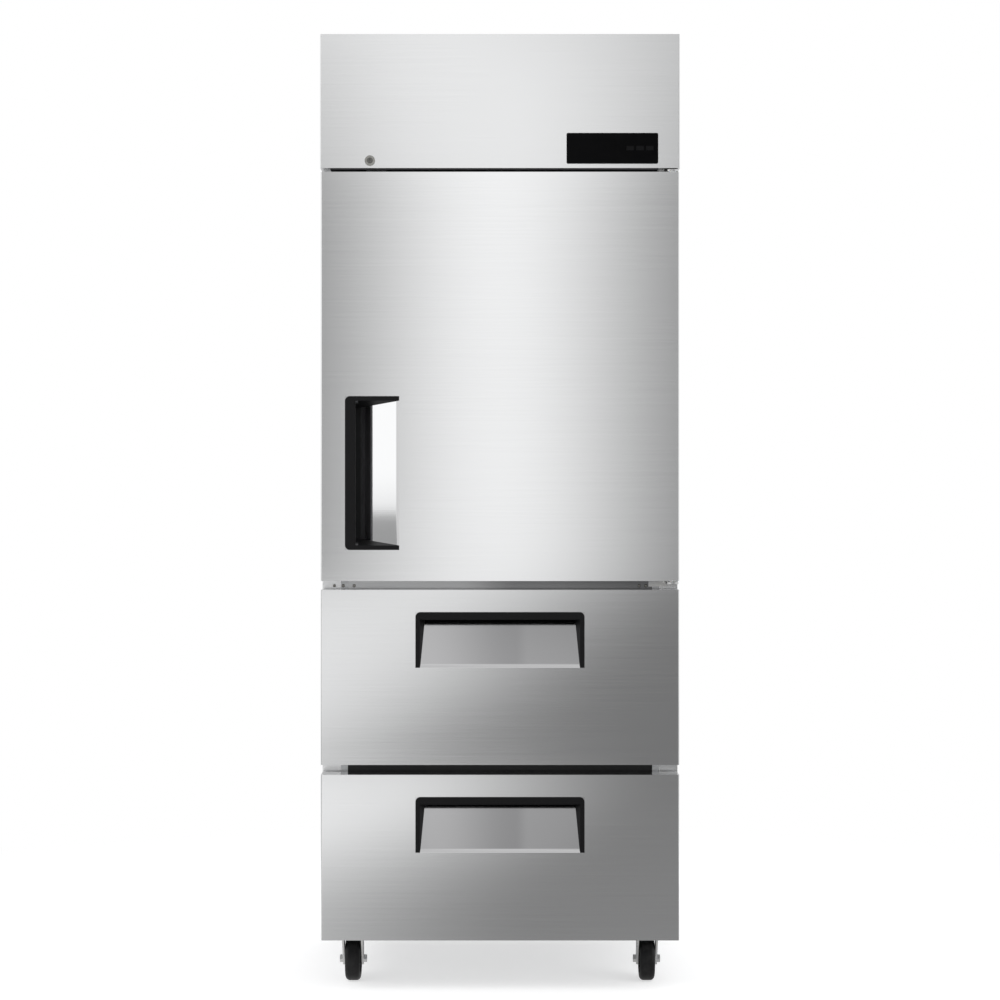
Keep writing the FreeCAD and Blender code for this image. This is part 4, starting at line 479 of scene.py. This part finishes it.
# Door and drawer fronts: stainless skins folded round the foam, each drawn in to a sloping recess
# for its grip, with an ABS panel and a magnetic gasket on the inside. The door and the upper drawer
# lean back a little, as the header does.
drawers = ("upper_drawer", "lower_drawer")
fronts = ("door", *drawers)
fold_start, fold_end = 0.0006, 0.0030
slope_start, slope_end = 0.002, 0.004
# painted shade: the fold at the mouth of each recess is painted darker, to tone down its highlight
fold_painted_shade = (0.50, 0.50, 0.505)
painted_shade_start, painted_shade_off_middle, painted_shade_fade = 0.01, 0.03, 0.03


def inside(value, low, high):
    """1 between two places and 0 beyond them."""
    return between(value, low - 0.001, low) - between(value, high, high + 0.001)


def mixed(share, first, second):
    """The first value where the share is 0, the second where it is 1."""
    return first + (second - first) * share


def front_steel(front, recess_shades, recess_gloss, lean):
    """Brushed steel, smoother on the slope of its grip's recess; the slope takes the given recess shades,
    which on the drawers are painted shade, and the fold is darkened by painted shade.
    """
    steel, surface, place = bare_metal(front + "_stainless", 0.2)
    x, y, z = axes_of(place)
    low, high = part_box(front + "_grip")
    recess = inside(x, low.x, high.x) * inside(z, low.z, high.z)
    face = cad_box[0].y
    fold = recess * inside(y, face + fold_start, face + fold_end)
    slope = recess * between(y, face + slope_start, face + slope_end)
    # painted shade across the recess slope: lightest at the left, darkest just right of the middle, a
    # little lighter beyond
    darkest = (low.x + high.x) / 2 + painted_shade_off_middle
    faded = between(x, darkest, darkest + painted_shade_fade) * 0.25
    wear_and_painted_shade = between(x, low.x + painted_shade_start, darkest) - faded
    normal = leaning(place, (1.0 - slope) * lean)
    tone, gloss, marks = brush_marks(place, STEEL, 0.12, LEVEL_STROKES, normal)
    lay(
        surface,
        base_color=tint(fold, tint(slope, tone, tint(wear_and_painted_shade, *recess_shades)), fold_painted_shade),
        roughness=mixed(slope, gloss, recess_gloss),
        normal=marks,
    )
    dress(steel, front + "_skin")


front_steel("door", (STEEL, STEEL), recess_gloss=0.05, lean=0.0314)
# painted shade: the drawers' recess slopes are painted darker than the steel, from the left tone to the
# right one
upper_recess_shades = ((0.43, 0.43, 0.435), (0.285, 0.285, 0.29))
front_steel("upper_drawer", upper_recess_shades, recess_gloss=0.14, lean=0.0157)
lower_recess_shades = ((0.42, 0.42, 0.425), (0.242, 0.242, 0.246))
front_steel("lower_drawer", lower_recess_shades, recess_gloss=0.14, lean=0.0)

panel, surface, place = new_finish("inner_panel_abs", {"Metallic": 0.0})
haircell = grain(place, 620.0, 3.0)
haze = grain(place, 4.0, 3.0)
lay(
    surface,
    base_color=tint(haze, (0.72, 0.73, 0.73), (0.79, 0.80, 0.80)),
    roughness=haircell * 0.18 + haze * 0.08 + 0.25,
    normal=relief(haircell, 0.14, 0.0003),
)
dress(panel, *(front + "_inner_panel" for front in fronts))

gasket, surface, place = new_finish("gasket_vinyl", {"Metallic": 0.0, "Specular IOR Level": 0.35})
powder = grain(place, 85.0, 4.0)
matt = grain(place, 1100.0, 2.0)
lay(
    surface,
    base_color=tint(powder, (0.022, 0.022, 0.024), (0.040, 0.040, 0.043)),
    roughness=powder * 0.2 + 0.48,
    normal=relief(matt, 0.12, 0.0002),
)
dress(gasket, *(front + "_gasket" for front in fronts))


# Header strip: a length of the same vinyl under the header's lower edge, which closes the gap over the
# door. It is cut from flat stock, notched where the lock's tongue swings, and pushed on.
def slab(outline, foot, top, rounding):
    """A flat piece with an outline seen from above, its edges rounded."""
    shape = bmesh.new()
    face = shape.faces.new([shape.verts.new((x, y, foot)) for x, y in outline])
    raised = bmesh.ops.extrude_face_region(shape, geom=[face])["geom"]
    risen = [part for part in raised if isinstance(part, bmesh.types.BMVert)]
    bmesh.ops.translate(shape, vec=(0, 0, top - foot), verts=risen)
    bmesh.ops.recalc_face_normals(shape, faces=shape.faces)
    bmesh.ops.bevel(
        shape, geom=shape.edges[:], offset=rounding, segments=2, profile=0.5, affect="EDGES", material=-1
    )
    return shape


strip_thickness = 0.0028
strip_rounding = 0.001
left_inset, right_inset = 0.020, 0.043
front_inset, back_inset = 0.0015, 0.0135
tongue_room = 0.004
notch_depth = 0.005
header_low, header_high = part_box("header_panel")
tongue_low, tongue_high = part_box("lock_barrel")
strip_left, strip_right = header_low.x + left_inset, header_high.x - right_inset
strip_front, strip_back = header_low.y + front_inset, header_high.y - back_inset
notch_left, notch_right = tongue_low.x - tongue_room, tongue_high.x + tongue_room
notch_front = tongue_high.y - notch_depth
strip_outline = [
    (strip_left, strip_front),
    (strip_right, strip_front),
    (strip_right, strip_back),
    (notch_right, strip_back),
    (notch_right, notch_front),
    (notch_left, notch_front),
    (notch_left, strip_back),
    (strip_left, strip_back),
]
strip = slab(strip_outline, header_low.z - strip_thickness, header_low.z, strip_rounding)
add_piece(strip, "header_strip", gasket, "cabinet")


# Grips: glass-filled black nylon, moulded with a fine spark texture, seated in the recess of each front
# so that the fingers hook behind the lip. Behind the door's lip, on the left, the grip is painted pale
# grey: painted light on its inner wall, which the recess slope mirrors.
def black_nylon(name, dust_and_painted_light=None):
    nylon, surface, place = new_finish(name, {"Metallic": 0.0, "Specular IOR Level": 0.15})
    spark = grain(place, 1300.0, 2.0)
    wear_and_painted_shade = grain(place, 18.0, 4.0)
    tone = tint(spark, (0.0030, 0.0030, 0.0032), (0.0065, 0.0065, 0.0070))
    lay(
        surface,
        # where a share is given, the nylon is painted pale grey: painted light
        base_color=tint(dust_and_painted_light(*axes_of(place)), tone, (0.13, 0.13, 0.135)) if dust_and_painted_light else tone,
        roughness=wear_and_painted_shade * 0.18 + spark * 0.10 + 0.30,
        normal=relief(spark, 0.16, 0.0003),
    )
    return nylon


lip_depth, painted_light_start, painted_light_end = 0.0015, 0.0030, 0.022
painted_light_width, plain_width = 0.025, 0.027


def door_painted_light(x, y, z):
    """Painted light, brightest just behind the lip, and only on the left of the grip."""
    face = cad_box[0].y
    grip_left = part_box("door_grip")[0].x
    behind_lip = between(y, face + lip_depth, face + painted_light_start)
    fading = between(y, face + painted_light_end, face + painted_light_start)
    on_left = between(x, grip_left + plain_width, grip_left + painted_light_width)
    return behind_lip * fading * on_left


dress(black_nylon("door_grip_nylon", door_painted_light), "door_grip")
plain_nylon = black_nylon("black_nylon")
dress(plain_nylon, *(drawer + "_grip" for drawer in drawers))

# Drawer rails and tubs: zinc-plated rolled channels in three lengths, and satin stainless tubs folded
# from one sheet with their lips turned out, riveted to the inner rails.
dress(bright_zinc, "outer_rails", *(drawer + "_middle_rails" for drawer in drawers))
tub_steel = brushed("tub_stainless", STEEL, 0.36, 0.3, (6.0, 300.0, 300.0))
dress(tub_steel, *(drawer + "_box" for drawer in drawers))
inner_sides = (("left", (1, 0, 0)), ("right", (-1, 0, 0)))
first_rivet = 0.06
rivet_pitch = 0.15
for drawer in drawers:
    low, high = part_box(drawer + "_middle_rails")
    rail_level = (low.z + high.z) / 2
    rivet_starts = [(0.0, low.y + first_rivet + rivet_pitch * step, rail_level) for step in range(4)]
    for side, facing in inner_sides:
        rivet_places = seats(drawer + "_box", rivet_starts, facing)
        rivets = heads(rivet_places, facing, radius=0.0036, crown=0.6, drive=0.0)
        add_piece(rivets, drawer + "_rivets_" + side, tub_steel, drawer)

# Shelves: welded wire with a pale epoxy coat, on zinc-plated uprights with clips. The uprights are
# screwed through the liner at their ends.
epoxy_coat = {"Metallic": 0.0, "Coat Weight": 0.2, "Coat Roughness": 0.2}
epoxy, surface, place = new_finish("shelf_epoxy", epoxy_coat)
flow = grain(place, 120.0, 3.0)
lay(
    surface,
    base_color=tint(flow, (0.70, 0.71, 0.71), (0.78, 0.79, 0.79)),
    roughness=flow * 0.16 + 0.28,
    normal=relief(flow, 0.15, 0.0005),
)
dress(epoxy, "wire_shelves")
dress(bright_zinc, "shelf_supports")
upright_half = 0.009
upright_end = 0.010
low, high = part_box("shelf_supports")
upright_columns = (low.y + upright_half, high.y - upright_half)
upright_rows = (low.z + upright_end, high.z - upright_end)
upright_starts = [(0.0, y, z) for y in upright_columns for z in upright_rows]
for side, facing in inner_sides:
    screws = heads(seats("shelf_supports", upright_starts, facing), facing, radius=0.0032)
    add_piece(screws, "upright_screws_" + side, zinc_screw, "cabinet")

# Evaporator: an aluminium cover screwed under the roof of the liner, with a finned coil and a fan
# behind it, and a guard of bent and welded wire before the fan.
mill_aluminium = brushed("mill_aluminium", (0.76, 0.77, 0.78), 0.38, 0.2, (260.0, 6.0, 260.0))
dress(mill_aluminium, "evaporator_cover", "condenser_fan")


def finned(name, colour, pitch):
    """A block of thin fins, drawn as bright edges with the gaps between them painted dark: painted shade.
    """
    fins, surface, place = new_finish(name, {"Metallic": 1.0})
    across = axes_of(place)[0]
    from_edge = place.maths("PINGPONG", across, pitch / 2) * (2.0 / pitch)
    open_gap = between(from_edge, 0.25, 0.45)
    bent = grain(place, 30.0, 3.0)
    painted_gap_shade = [0.16 * part for part in colour]
    lay(
        surface,
        # painted shade in the gaps between the fins
        base_color=tint(open_gap, colour, painted_gap_shade),
        roughness=bent * 0.2 + 0.32,
        normal=relief(1.0 - open_gap, 0.6, 0.001),
    )
    return fins


dress(finned("coil_fins", (0.74, 0.75, 0.76), 0.0042), "evaporator_coil", "condenser_coil")
dress(plain_nylon, "evaporator_fan")


def wire_guard(centre, radii, wire, overhang):
    """Round wires bent to rings, welded on two crossed wires behind them."""
    shape = bmesh.new()
    for radius in radii:
        at_side = Matrix.Translation(centre + Vector((radius, 0, 0)))
        section = bmesh.ops.create_circle(shape, segments=8, radius=wire, matrix=at_side)["verts"]
        outline = [edge for edge in shape.edges if edge.verts[0] in section]
        bmesh.ops.spin(
            shape,
            geom=section + outline,
            cent=centre,
            axis=(0, 1, 0),
            angle=2 * math.pi,
            steps=48,
            use_merge=True,
        )
    crossing = Matrix.Translation(centre + Vector((0, 2 * wire, 0)))
    for angle in (math.pi / 4, -math.pi / 4):
        bmesh.ops.create_cone(
            shape,
            cap_ends=True,
            segments=8,
            radius1=wire,
            radius2=wire,
            depth=2 * (radii[-1] + overhang),
            matrix=crossing @ Matrix.Rotation(angle, 4, "Y"),
        )
    bmesh.ops.recalc_face_normals(shape, faces=shape.faces)
    return shape


wire = 0.0011
first_ring, ring_pitch = 0.014, 0.0115
overhang = 0.007
low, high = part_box("evaporator_fan")
fan_middle = (low + high) / 2
low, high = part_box("evaporator_cover")
guard_middle = Vector((fan_middle.x, low.y - 3 * wire, fan_middle.z))
rings = [first_ring + ring_pitch * step for step in range(5)]
guard = wire_guard(guard_middle, rings, wire, overhang)
add_piece(guard, "evaporator_guard", bright_zinc, "cabinet")

beyond_rings = 0.006
top_inset, bottom_inset = 0.010, 0.044
off_middle = 0.13
reach = (rings[-1] + beyond_rings) / math.sqrt(2)
guard_columns = (guard_middle.x - reach, guard_middle.x + reach)
guard_rows = (guard_middle.z - reach, guard_middle.z + reach)
end_columns = (low.x + screw_inset, high.x - screw_inset)
cover_starts = [(x, front_start, z) for x in guard_columns for z in guard_rows]
cover_starts += [(x, front_start, high.z - top_inset) for x in (-off_middle, off_middle, *end_columns)]
cover_starts += [(x, front_start, low.z + bottom_inset) for x in end_columns]
cover_places = seats("evaporator_cover", cover_starts, FORWARD)
add_piece(heads(cover_places, FORWARD, radius=0.0036), "cover_screws", zinc_screw, "cabinet")

# Condensing unit: an enamelled hermetic compressor bolted down by its feet, black fan motors, bare
# copper lines with a drier, and a galvanised fan shroud and relay box, both screwed together.
dress(galvanised_sheet, "condenser_shroud", "electrical_box")
enamel_coat = {"Metallic": 0.0, "Coat Weight": 0.5, "Coat Roughness": 0.12}
enamel, surface, place = new_finish("black_enamel", enamel_coat)
peel = grain(place, 260.0, 2.0)
dust_and_painted_light = grain(place, 22.0, 5.0)
lay(
    surface,
    base_color=tint(between(dust_and_painted_light, 0.45, 0.8), (0.010, 0.010, 0.011), (0.045, 0.043, 0.040)),
    roughness=between(dust_and_painted_light, 0.4, 0.8) * 0.25 + 0.22,
    normal=relief(peel, 0.12, 0.0006),
)
dress(enamel, "compressor", "fan_motors")

copper, surface, place = new_finish("bare_copper", {"Metallic": 1.0})
tarnish = grain(place, 26.0, 4.0)
drawn = grain(place, 500.0, 2.0)
lay(
    surface,
    base_color=tint(between(tarnish, 0.3, 0.7), (0.78, 0.42, 0.27), (0.48, 0.24, 0.15)),
    roughness=tarnish * 0.22 + drawn * 0.08 + 0.16,
    normal=relief(drawn, 0.06, 0.0003),
)
dress(copper, "refrigerant_lines")
dress(plain_nylon, "cord_gland")

UPWARD = (0, 0, 1)
shroud_side, shroud_foot, shroud_top = 0.011, 0.013, 0.010
lid_side, lid_top = 0.012, 0.008
low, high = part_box("condenser_shroud")
shroud_columns = (low.x + shroud_side, high.x - shroud_side)
shroud_rows = (low.z + shroud_foot, high.z - shroud_top)
shroud_starts = [(x, high.y + clear_of_node, z) for x in shroud_columns for z in shroud_rows]
unit_places = seats("condenser_shroud", shroud_starts, BACKWARD)
low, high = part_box("electrical_box")
lid_columns = (low.x + lid_side, high.x - lid_side)
lid_starts = [(x, high.y + clear_of_node, high.z - lid_top) for x in lid_columns]
unit_places += seats("electrical_box", lid_starts, BACKWARD)
add_piece(heads(unit_places, BACKWARD, radius=0.0038), "unit_screws", zinc_screw, "cabinet")

low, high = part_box("compressor")
foot_span = high.x - low.x - 2 * screw_inset
foot_columns = (low.x + screw_inset, low.x + screw_inset + foot_span)
foot_rows = (low.y + screw_inset, low.y + screw_inset + foot_span)
foot_starts = [(x, y, high.z + clear_of_node) for x in foot_columns for y in foot_rows]
foot_places = seats("compressor", foot_starts, UPWARD)
add_piece(bolt_heads(foot_places, UPWARD), "compressor_bolts", zinc_screw, "cabinet")


# Stage: a plain white floor, soft light from three lamps, and cards all round that light nothing and
# show only where bare metal and gloss mirror them.
def stage_card(name, size, middle, facing, finish):
    card = bmesh.new()
    bmesh.ops.create_grid(card, x_segments=1, y_segments=1, size=0.5)
    bmesh.ops.scale(card, vec=(*size, 1.0), verts=card.verts)
    turn = Vector(UPWARD).rotation_difference(Vector(facing)).to_matrix().to_4x4()
    bmesh.ops.transform(card, matrix=Matrix.Translation(middle) @ turn, verts=card.verts)
    made = new_object(card, name, finish)
    return made


def bare_finish(name):
    """A material with no surface yet, and the place of a point on its piece."""
    finish, surface, place = new_finish(name, {})
    place.tree.nodes.remove(surface)
    return finish, place


def show(shader):
    """Makes a shader the surface of its material."""
    shader.tree.links.new(shader.socket, shader.tree.nodes["Material Output"].inputs["Surface"])


WHITE = (1.0, 1.0, 1.0, 1.0)
floor_side = 18.0
shadow_full, shadow_gone = 0.7, 2.2
floor_finish, place = bare_finish("white_floor")
seen = place.node("ShaderNodeLightPath", output="Is Camera Ray")
glow = place.node("ShaderNodeEmission", None, {"Color": WHITE, "Strength": 0.60})
shaded = place.node("ShaderNodeBsdfDiffuse", None, {"Color": (0.52, 0.52, 0.52, 1.0)})
near_floor = place.node("ShaderNodeAddShader", None, {0: glow, 1: shaded})
far_floor = place.node("ShaderNodeEmission", None, {"Color": WHITE, "Strength": 1.0})
away = place.node("ShaderNodeVectorMath", {"operation": "LENGTH"}, {0: place}, "Value")
far_share = between(away, shadow_full, shadow_gone)
seen_floor = place.node("ShaderNodeMixShader", None, {0: far_share, 1: near_floor, 2: far_floor})
matt_floor = place.node("ShaderNodeBsdfDiffuse", None, {"Color": (0.8, 0.8, 0.8, 1.0)})
show(place.node("ShaderNodeMixShader", None, {0: seen, 1: matt_floor, 2: seen_floor}))
stage_card("floor", (floor_side, floor_side), (0.0, 0.0, floor_level), UPWARD, floor_finish)


def glowing(name, pattern):
    """A finish with a soft pattern of light."""
    finish, place = bare_finish(name)
    show(place.node("ShaderNodeEmission", None, {"Color": pattern(*axes_of(place))}))
    return finish


def mirror_card(name, size, middle, facing, finish):
    """A card that shows only in what mirrors it."""
    card = stage_card(name, size, middle, facing, finish)
    card.visible_camera = False
    card.visible_diffuse = False
    card.visible_shadow = False
    card.visible_transmission = False


half_width, half_depth = 6.5, 6.9
front_height, wall_height = 5.2, 3.6


def front_light(x, y, z):
    """Four bands, one over the other, that the drawers, the door, the header and what lies above mirror."""
    drawers_end, door_end, header_end = (0.86, 0.96), (3.02, 3.10), (3.85, 4.15)
    aside = between(x, -2.6, -1.4) * -1.0 + between(x, 1.4, 2.6) + 1.0
    aslant = z * 0.90 - between(z, 0.36, -0.10) * 0.36 - 0.48
    by_drawers = 1.00 - between(x - aslant, -0.70, 0.70) * 0.80 + aside * 0.1
    by_door = (between(x, -1.1, 0.0) - between(x, 0.0, 1.05)) * 0.87 + aside * 0.32 + 0.30
    by_header = between(x, -1.05, -0.40) * 0.72 - between(x, 0.35, 1.05) * 0.80 + 0.50
    above = 1.15 - between(x, -0.9, 0.7) * 0.50
    upper = mixed(between(z, *header_end), by_header, above)
    upright = mixed(between(z, *door_end), by_door, upper)
    return mixed(between(z, *drawers_end), by_drawers, upright)


def floor_light(x, y, z):
    """Bright on the left and grey on the right, in a far and a near half; even far aside."""
    halves_meet = (-5.5, -5.1)
    far_half = 1.0 - between(x + (y + half_depth) * 0.24 + 0.80, -0.75, 0.75) * 0.80
    near = between(y, -4.5, -1.05)
    lit = (1.0 - between(x + near * 0.52, -0.42, 0.63)) * (0.84 - between(y, -3.4, -1.05) * 0.30)
    near_half = lit + near * 0.04 + 0.23
    before_front = mixed(between(y, *halves_meet), far_half, near_half)
    foot = between(y, -0.91, -0.81) * 0.22
    return mixed(between(x * x, 1.0, 5.0), before_front, 0.55) + foot


def side_light(x, y, z):
    """White above a grey skirting, which the slope of the door's recess mirrors."""
    skirting_end, white_start, white_full = 0.940, 0.965, 1.125
    return between(z, skirting_end, white_start) * 0.70 + between(z, white_start, white_full) * 0.14 + 0.40


def wall_light(x, y, z):
    """Grey at the foot and paler above, with a soft pale band down the middle of each wall."""
    band = between(x * x, 9.0, 0.0) + between(y * y, 9.0, 0.0)
    return between(z, 0.0, 3.4) * 0.30 + band * 0.16 + 0.40


front_size = (2 * half_width, front_height)
front_middle = (0.0, -half_depth, front_height / 2)
mirror_card("front_card", front_size, front_middle, BACKWARD, glowing("front_glow", front_light))
floor_size = (9.0, 6.7)
floor_middle = (0.0, -3.55, 0.004)
mirror_card("floor_card", floor_size, floor_middle, UPWARD, glowing("floor_glow", floor_light))
side_size = (2.6, wall_height)
side_middle = (-4.15, -3.53, wall_height / 2)
to_recess = (0.777, 0.629, 0)
mirror_card("side_card", side_size, side_middle, to_recess, glowing("side_glow", side_light))
flank_size = (2 * half_depth, wall_height)
wall_size = (2 * half_width, wall_height)
wall_glow = glowing("wall_glow", wall_light)
mirror_card("right_card", flank_size, (half_width, 0.0, wall_height / 2), (-1, 0, 0), wall_glow)
mirror_card("left_card", flank_size, (-half_width, 0.0, wall_height / 2), (1, 0, 0), wall_glow)
mirror_card("back_card", wall_size, (0.0, half_depth, wall_height / 2), FORWARD, wall_glow)

world = bpy.data.worlds.new("studio")
bpy.context.scene.world = world
world.use_nodes = True
world.node_tree.nodes.remove(world.node_tree.nodes["Background"])
sky = Shade(world.node_tree)
seen = sky.node("ShaderNodeLightPath", output="Is Camera Ray")
mirrored = sky.node("ShaderNodeLightPath", output="Is Glossy Ray")
through = sky.node("ShaderNodeLightPath", output="Is Transmission Ray")
clamped = {"operation": "ADD", "use_clamp": True}
shown = sky.node("ShaderNodeMath", clamped, {0: seen + mirrored, 1: through})
soft_sky = sky.node("ShaderNodeBackground", None, {"Color": (0.97, 0.98, 1.0, 1.0), "Strength": 0.55})
white_sky = sky.node("ShaderNodeBackground", None, {"Color": WHITE, "Strength": 1.0})
studio_sky = sky.node("ShaderNodeMixShader", None, {0: shown, 1: soft_sky, 2: white_sky})
world.node_tree.links.new(studio_sky.socket, world.node_tree.nodes["World Output"].inputs["Surface"])


lamp_target = (0.0, 0.0, 1.0)


def soft_light(name, place, side, power):
    """A square lamp that shines on the middle of the cabinet and isn't mirrored itself."""
    lamp = bpy.data.lights.new(name, "AREA")
    lamp.shape = "SQUARE"
    lamp.size = side
    lamp.energy = power
    made = bpy.data.objects.new(name, lamp)
    made.location = place
    made.rotation_mode = "QUATERNION"
    made.rotation_quaternion = (Vector(lamp_target) - Vector(place)).to_track_quat("-Z", "Y")
    made.visible_glossy = False
    bpy.context.scene.collection.objects.link(made)


soft_light("key", (-2.6, -3.2, 3.4), side=2.2, power=110.0)
soft_light("fill", (3.0, -2.4, 2.4), side=2.0, power=60.0)
soft_light("back", (0.8, 3.6, 3.0), side=2.4, power=80.0)

# Camera: level and square to the front, five metres before it, framed as the photograph is. The
# picture is shifted, so that the lower drawer ends on its own row and upright edges stay upright.
metres_per_pixel = 0.002028
picture_side = 1000
drawer_foot_row = 940.5
distance = 5.0
eye_height = 1.005
picture_width = picture_side * metres_per_pixel
drawer_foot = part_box("lower_drawer_skin")[0].z
picture_middle = drawer_foot + (drawer_foot_row - picture_side / 2) * metres_per_pixel
camera = bpy.data.cameras.new("camera")
camera.sensor_width = 36.0
camera.lens = camera.sensor_width * distance / picture_width
camera.shift_y = (picture_middle - eye_height) / picture_width
viewer = bpy.data.objects.new("camera", camera)
viewer.location = (0.0, cad_box[0].y - distance, eye_height)
viewer.rotation_euler = (math.pi / 2, 0.0, 0.0)
bpy.context.scene.collection.objects.link(viewer)
bpy.context.scene.camera = viewer
bpy.context.scene.view_settings.view_transform = "Standard"
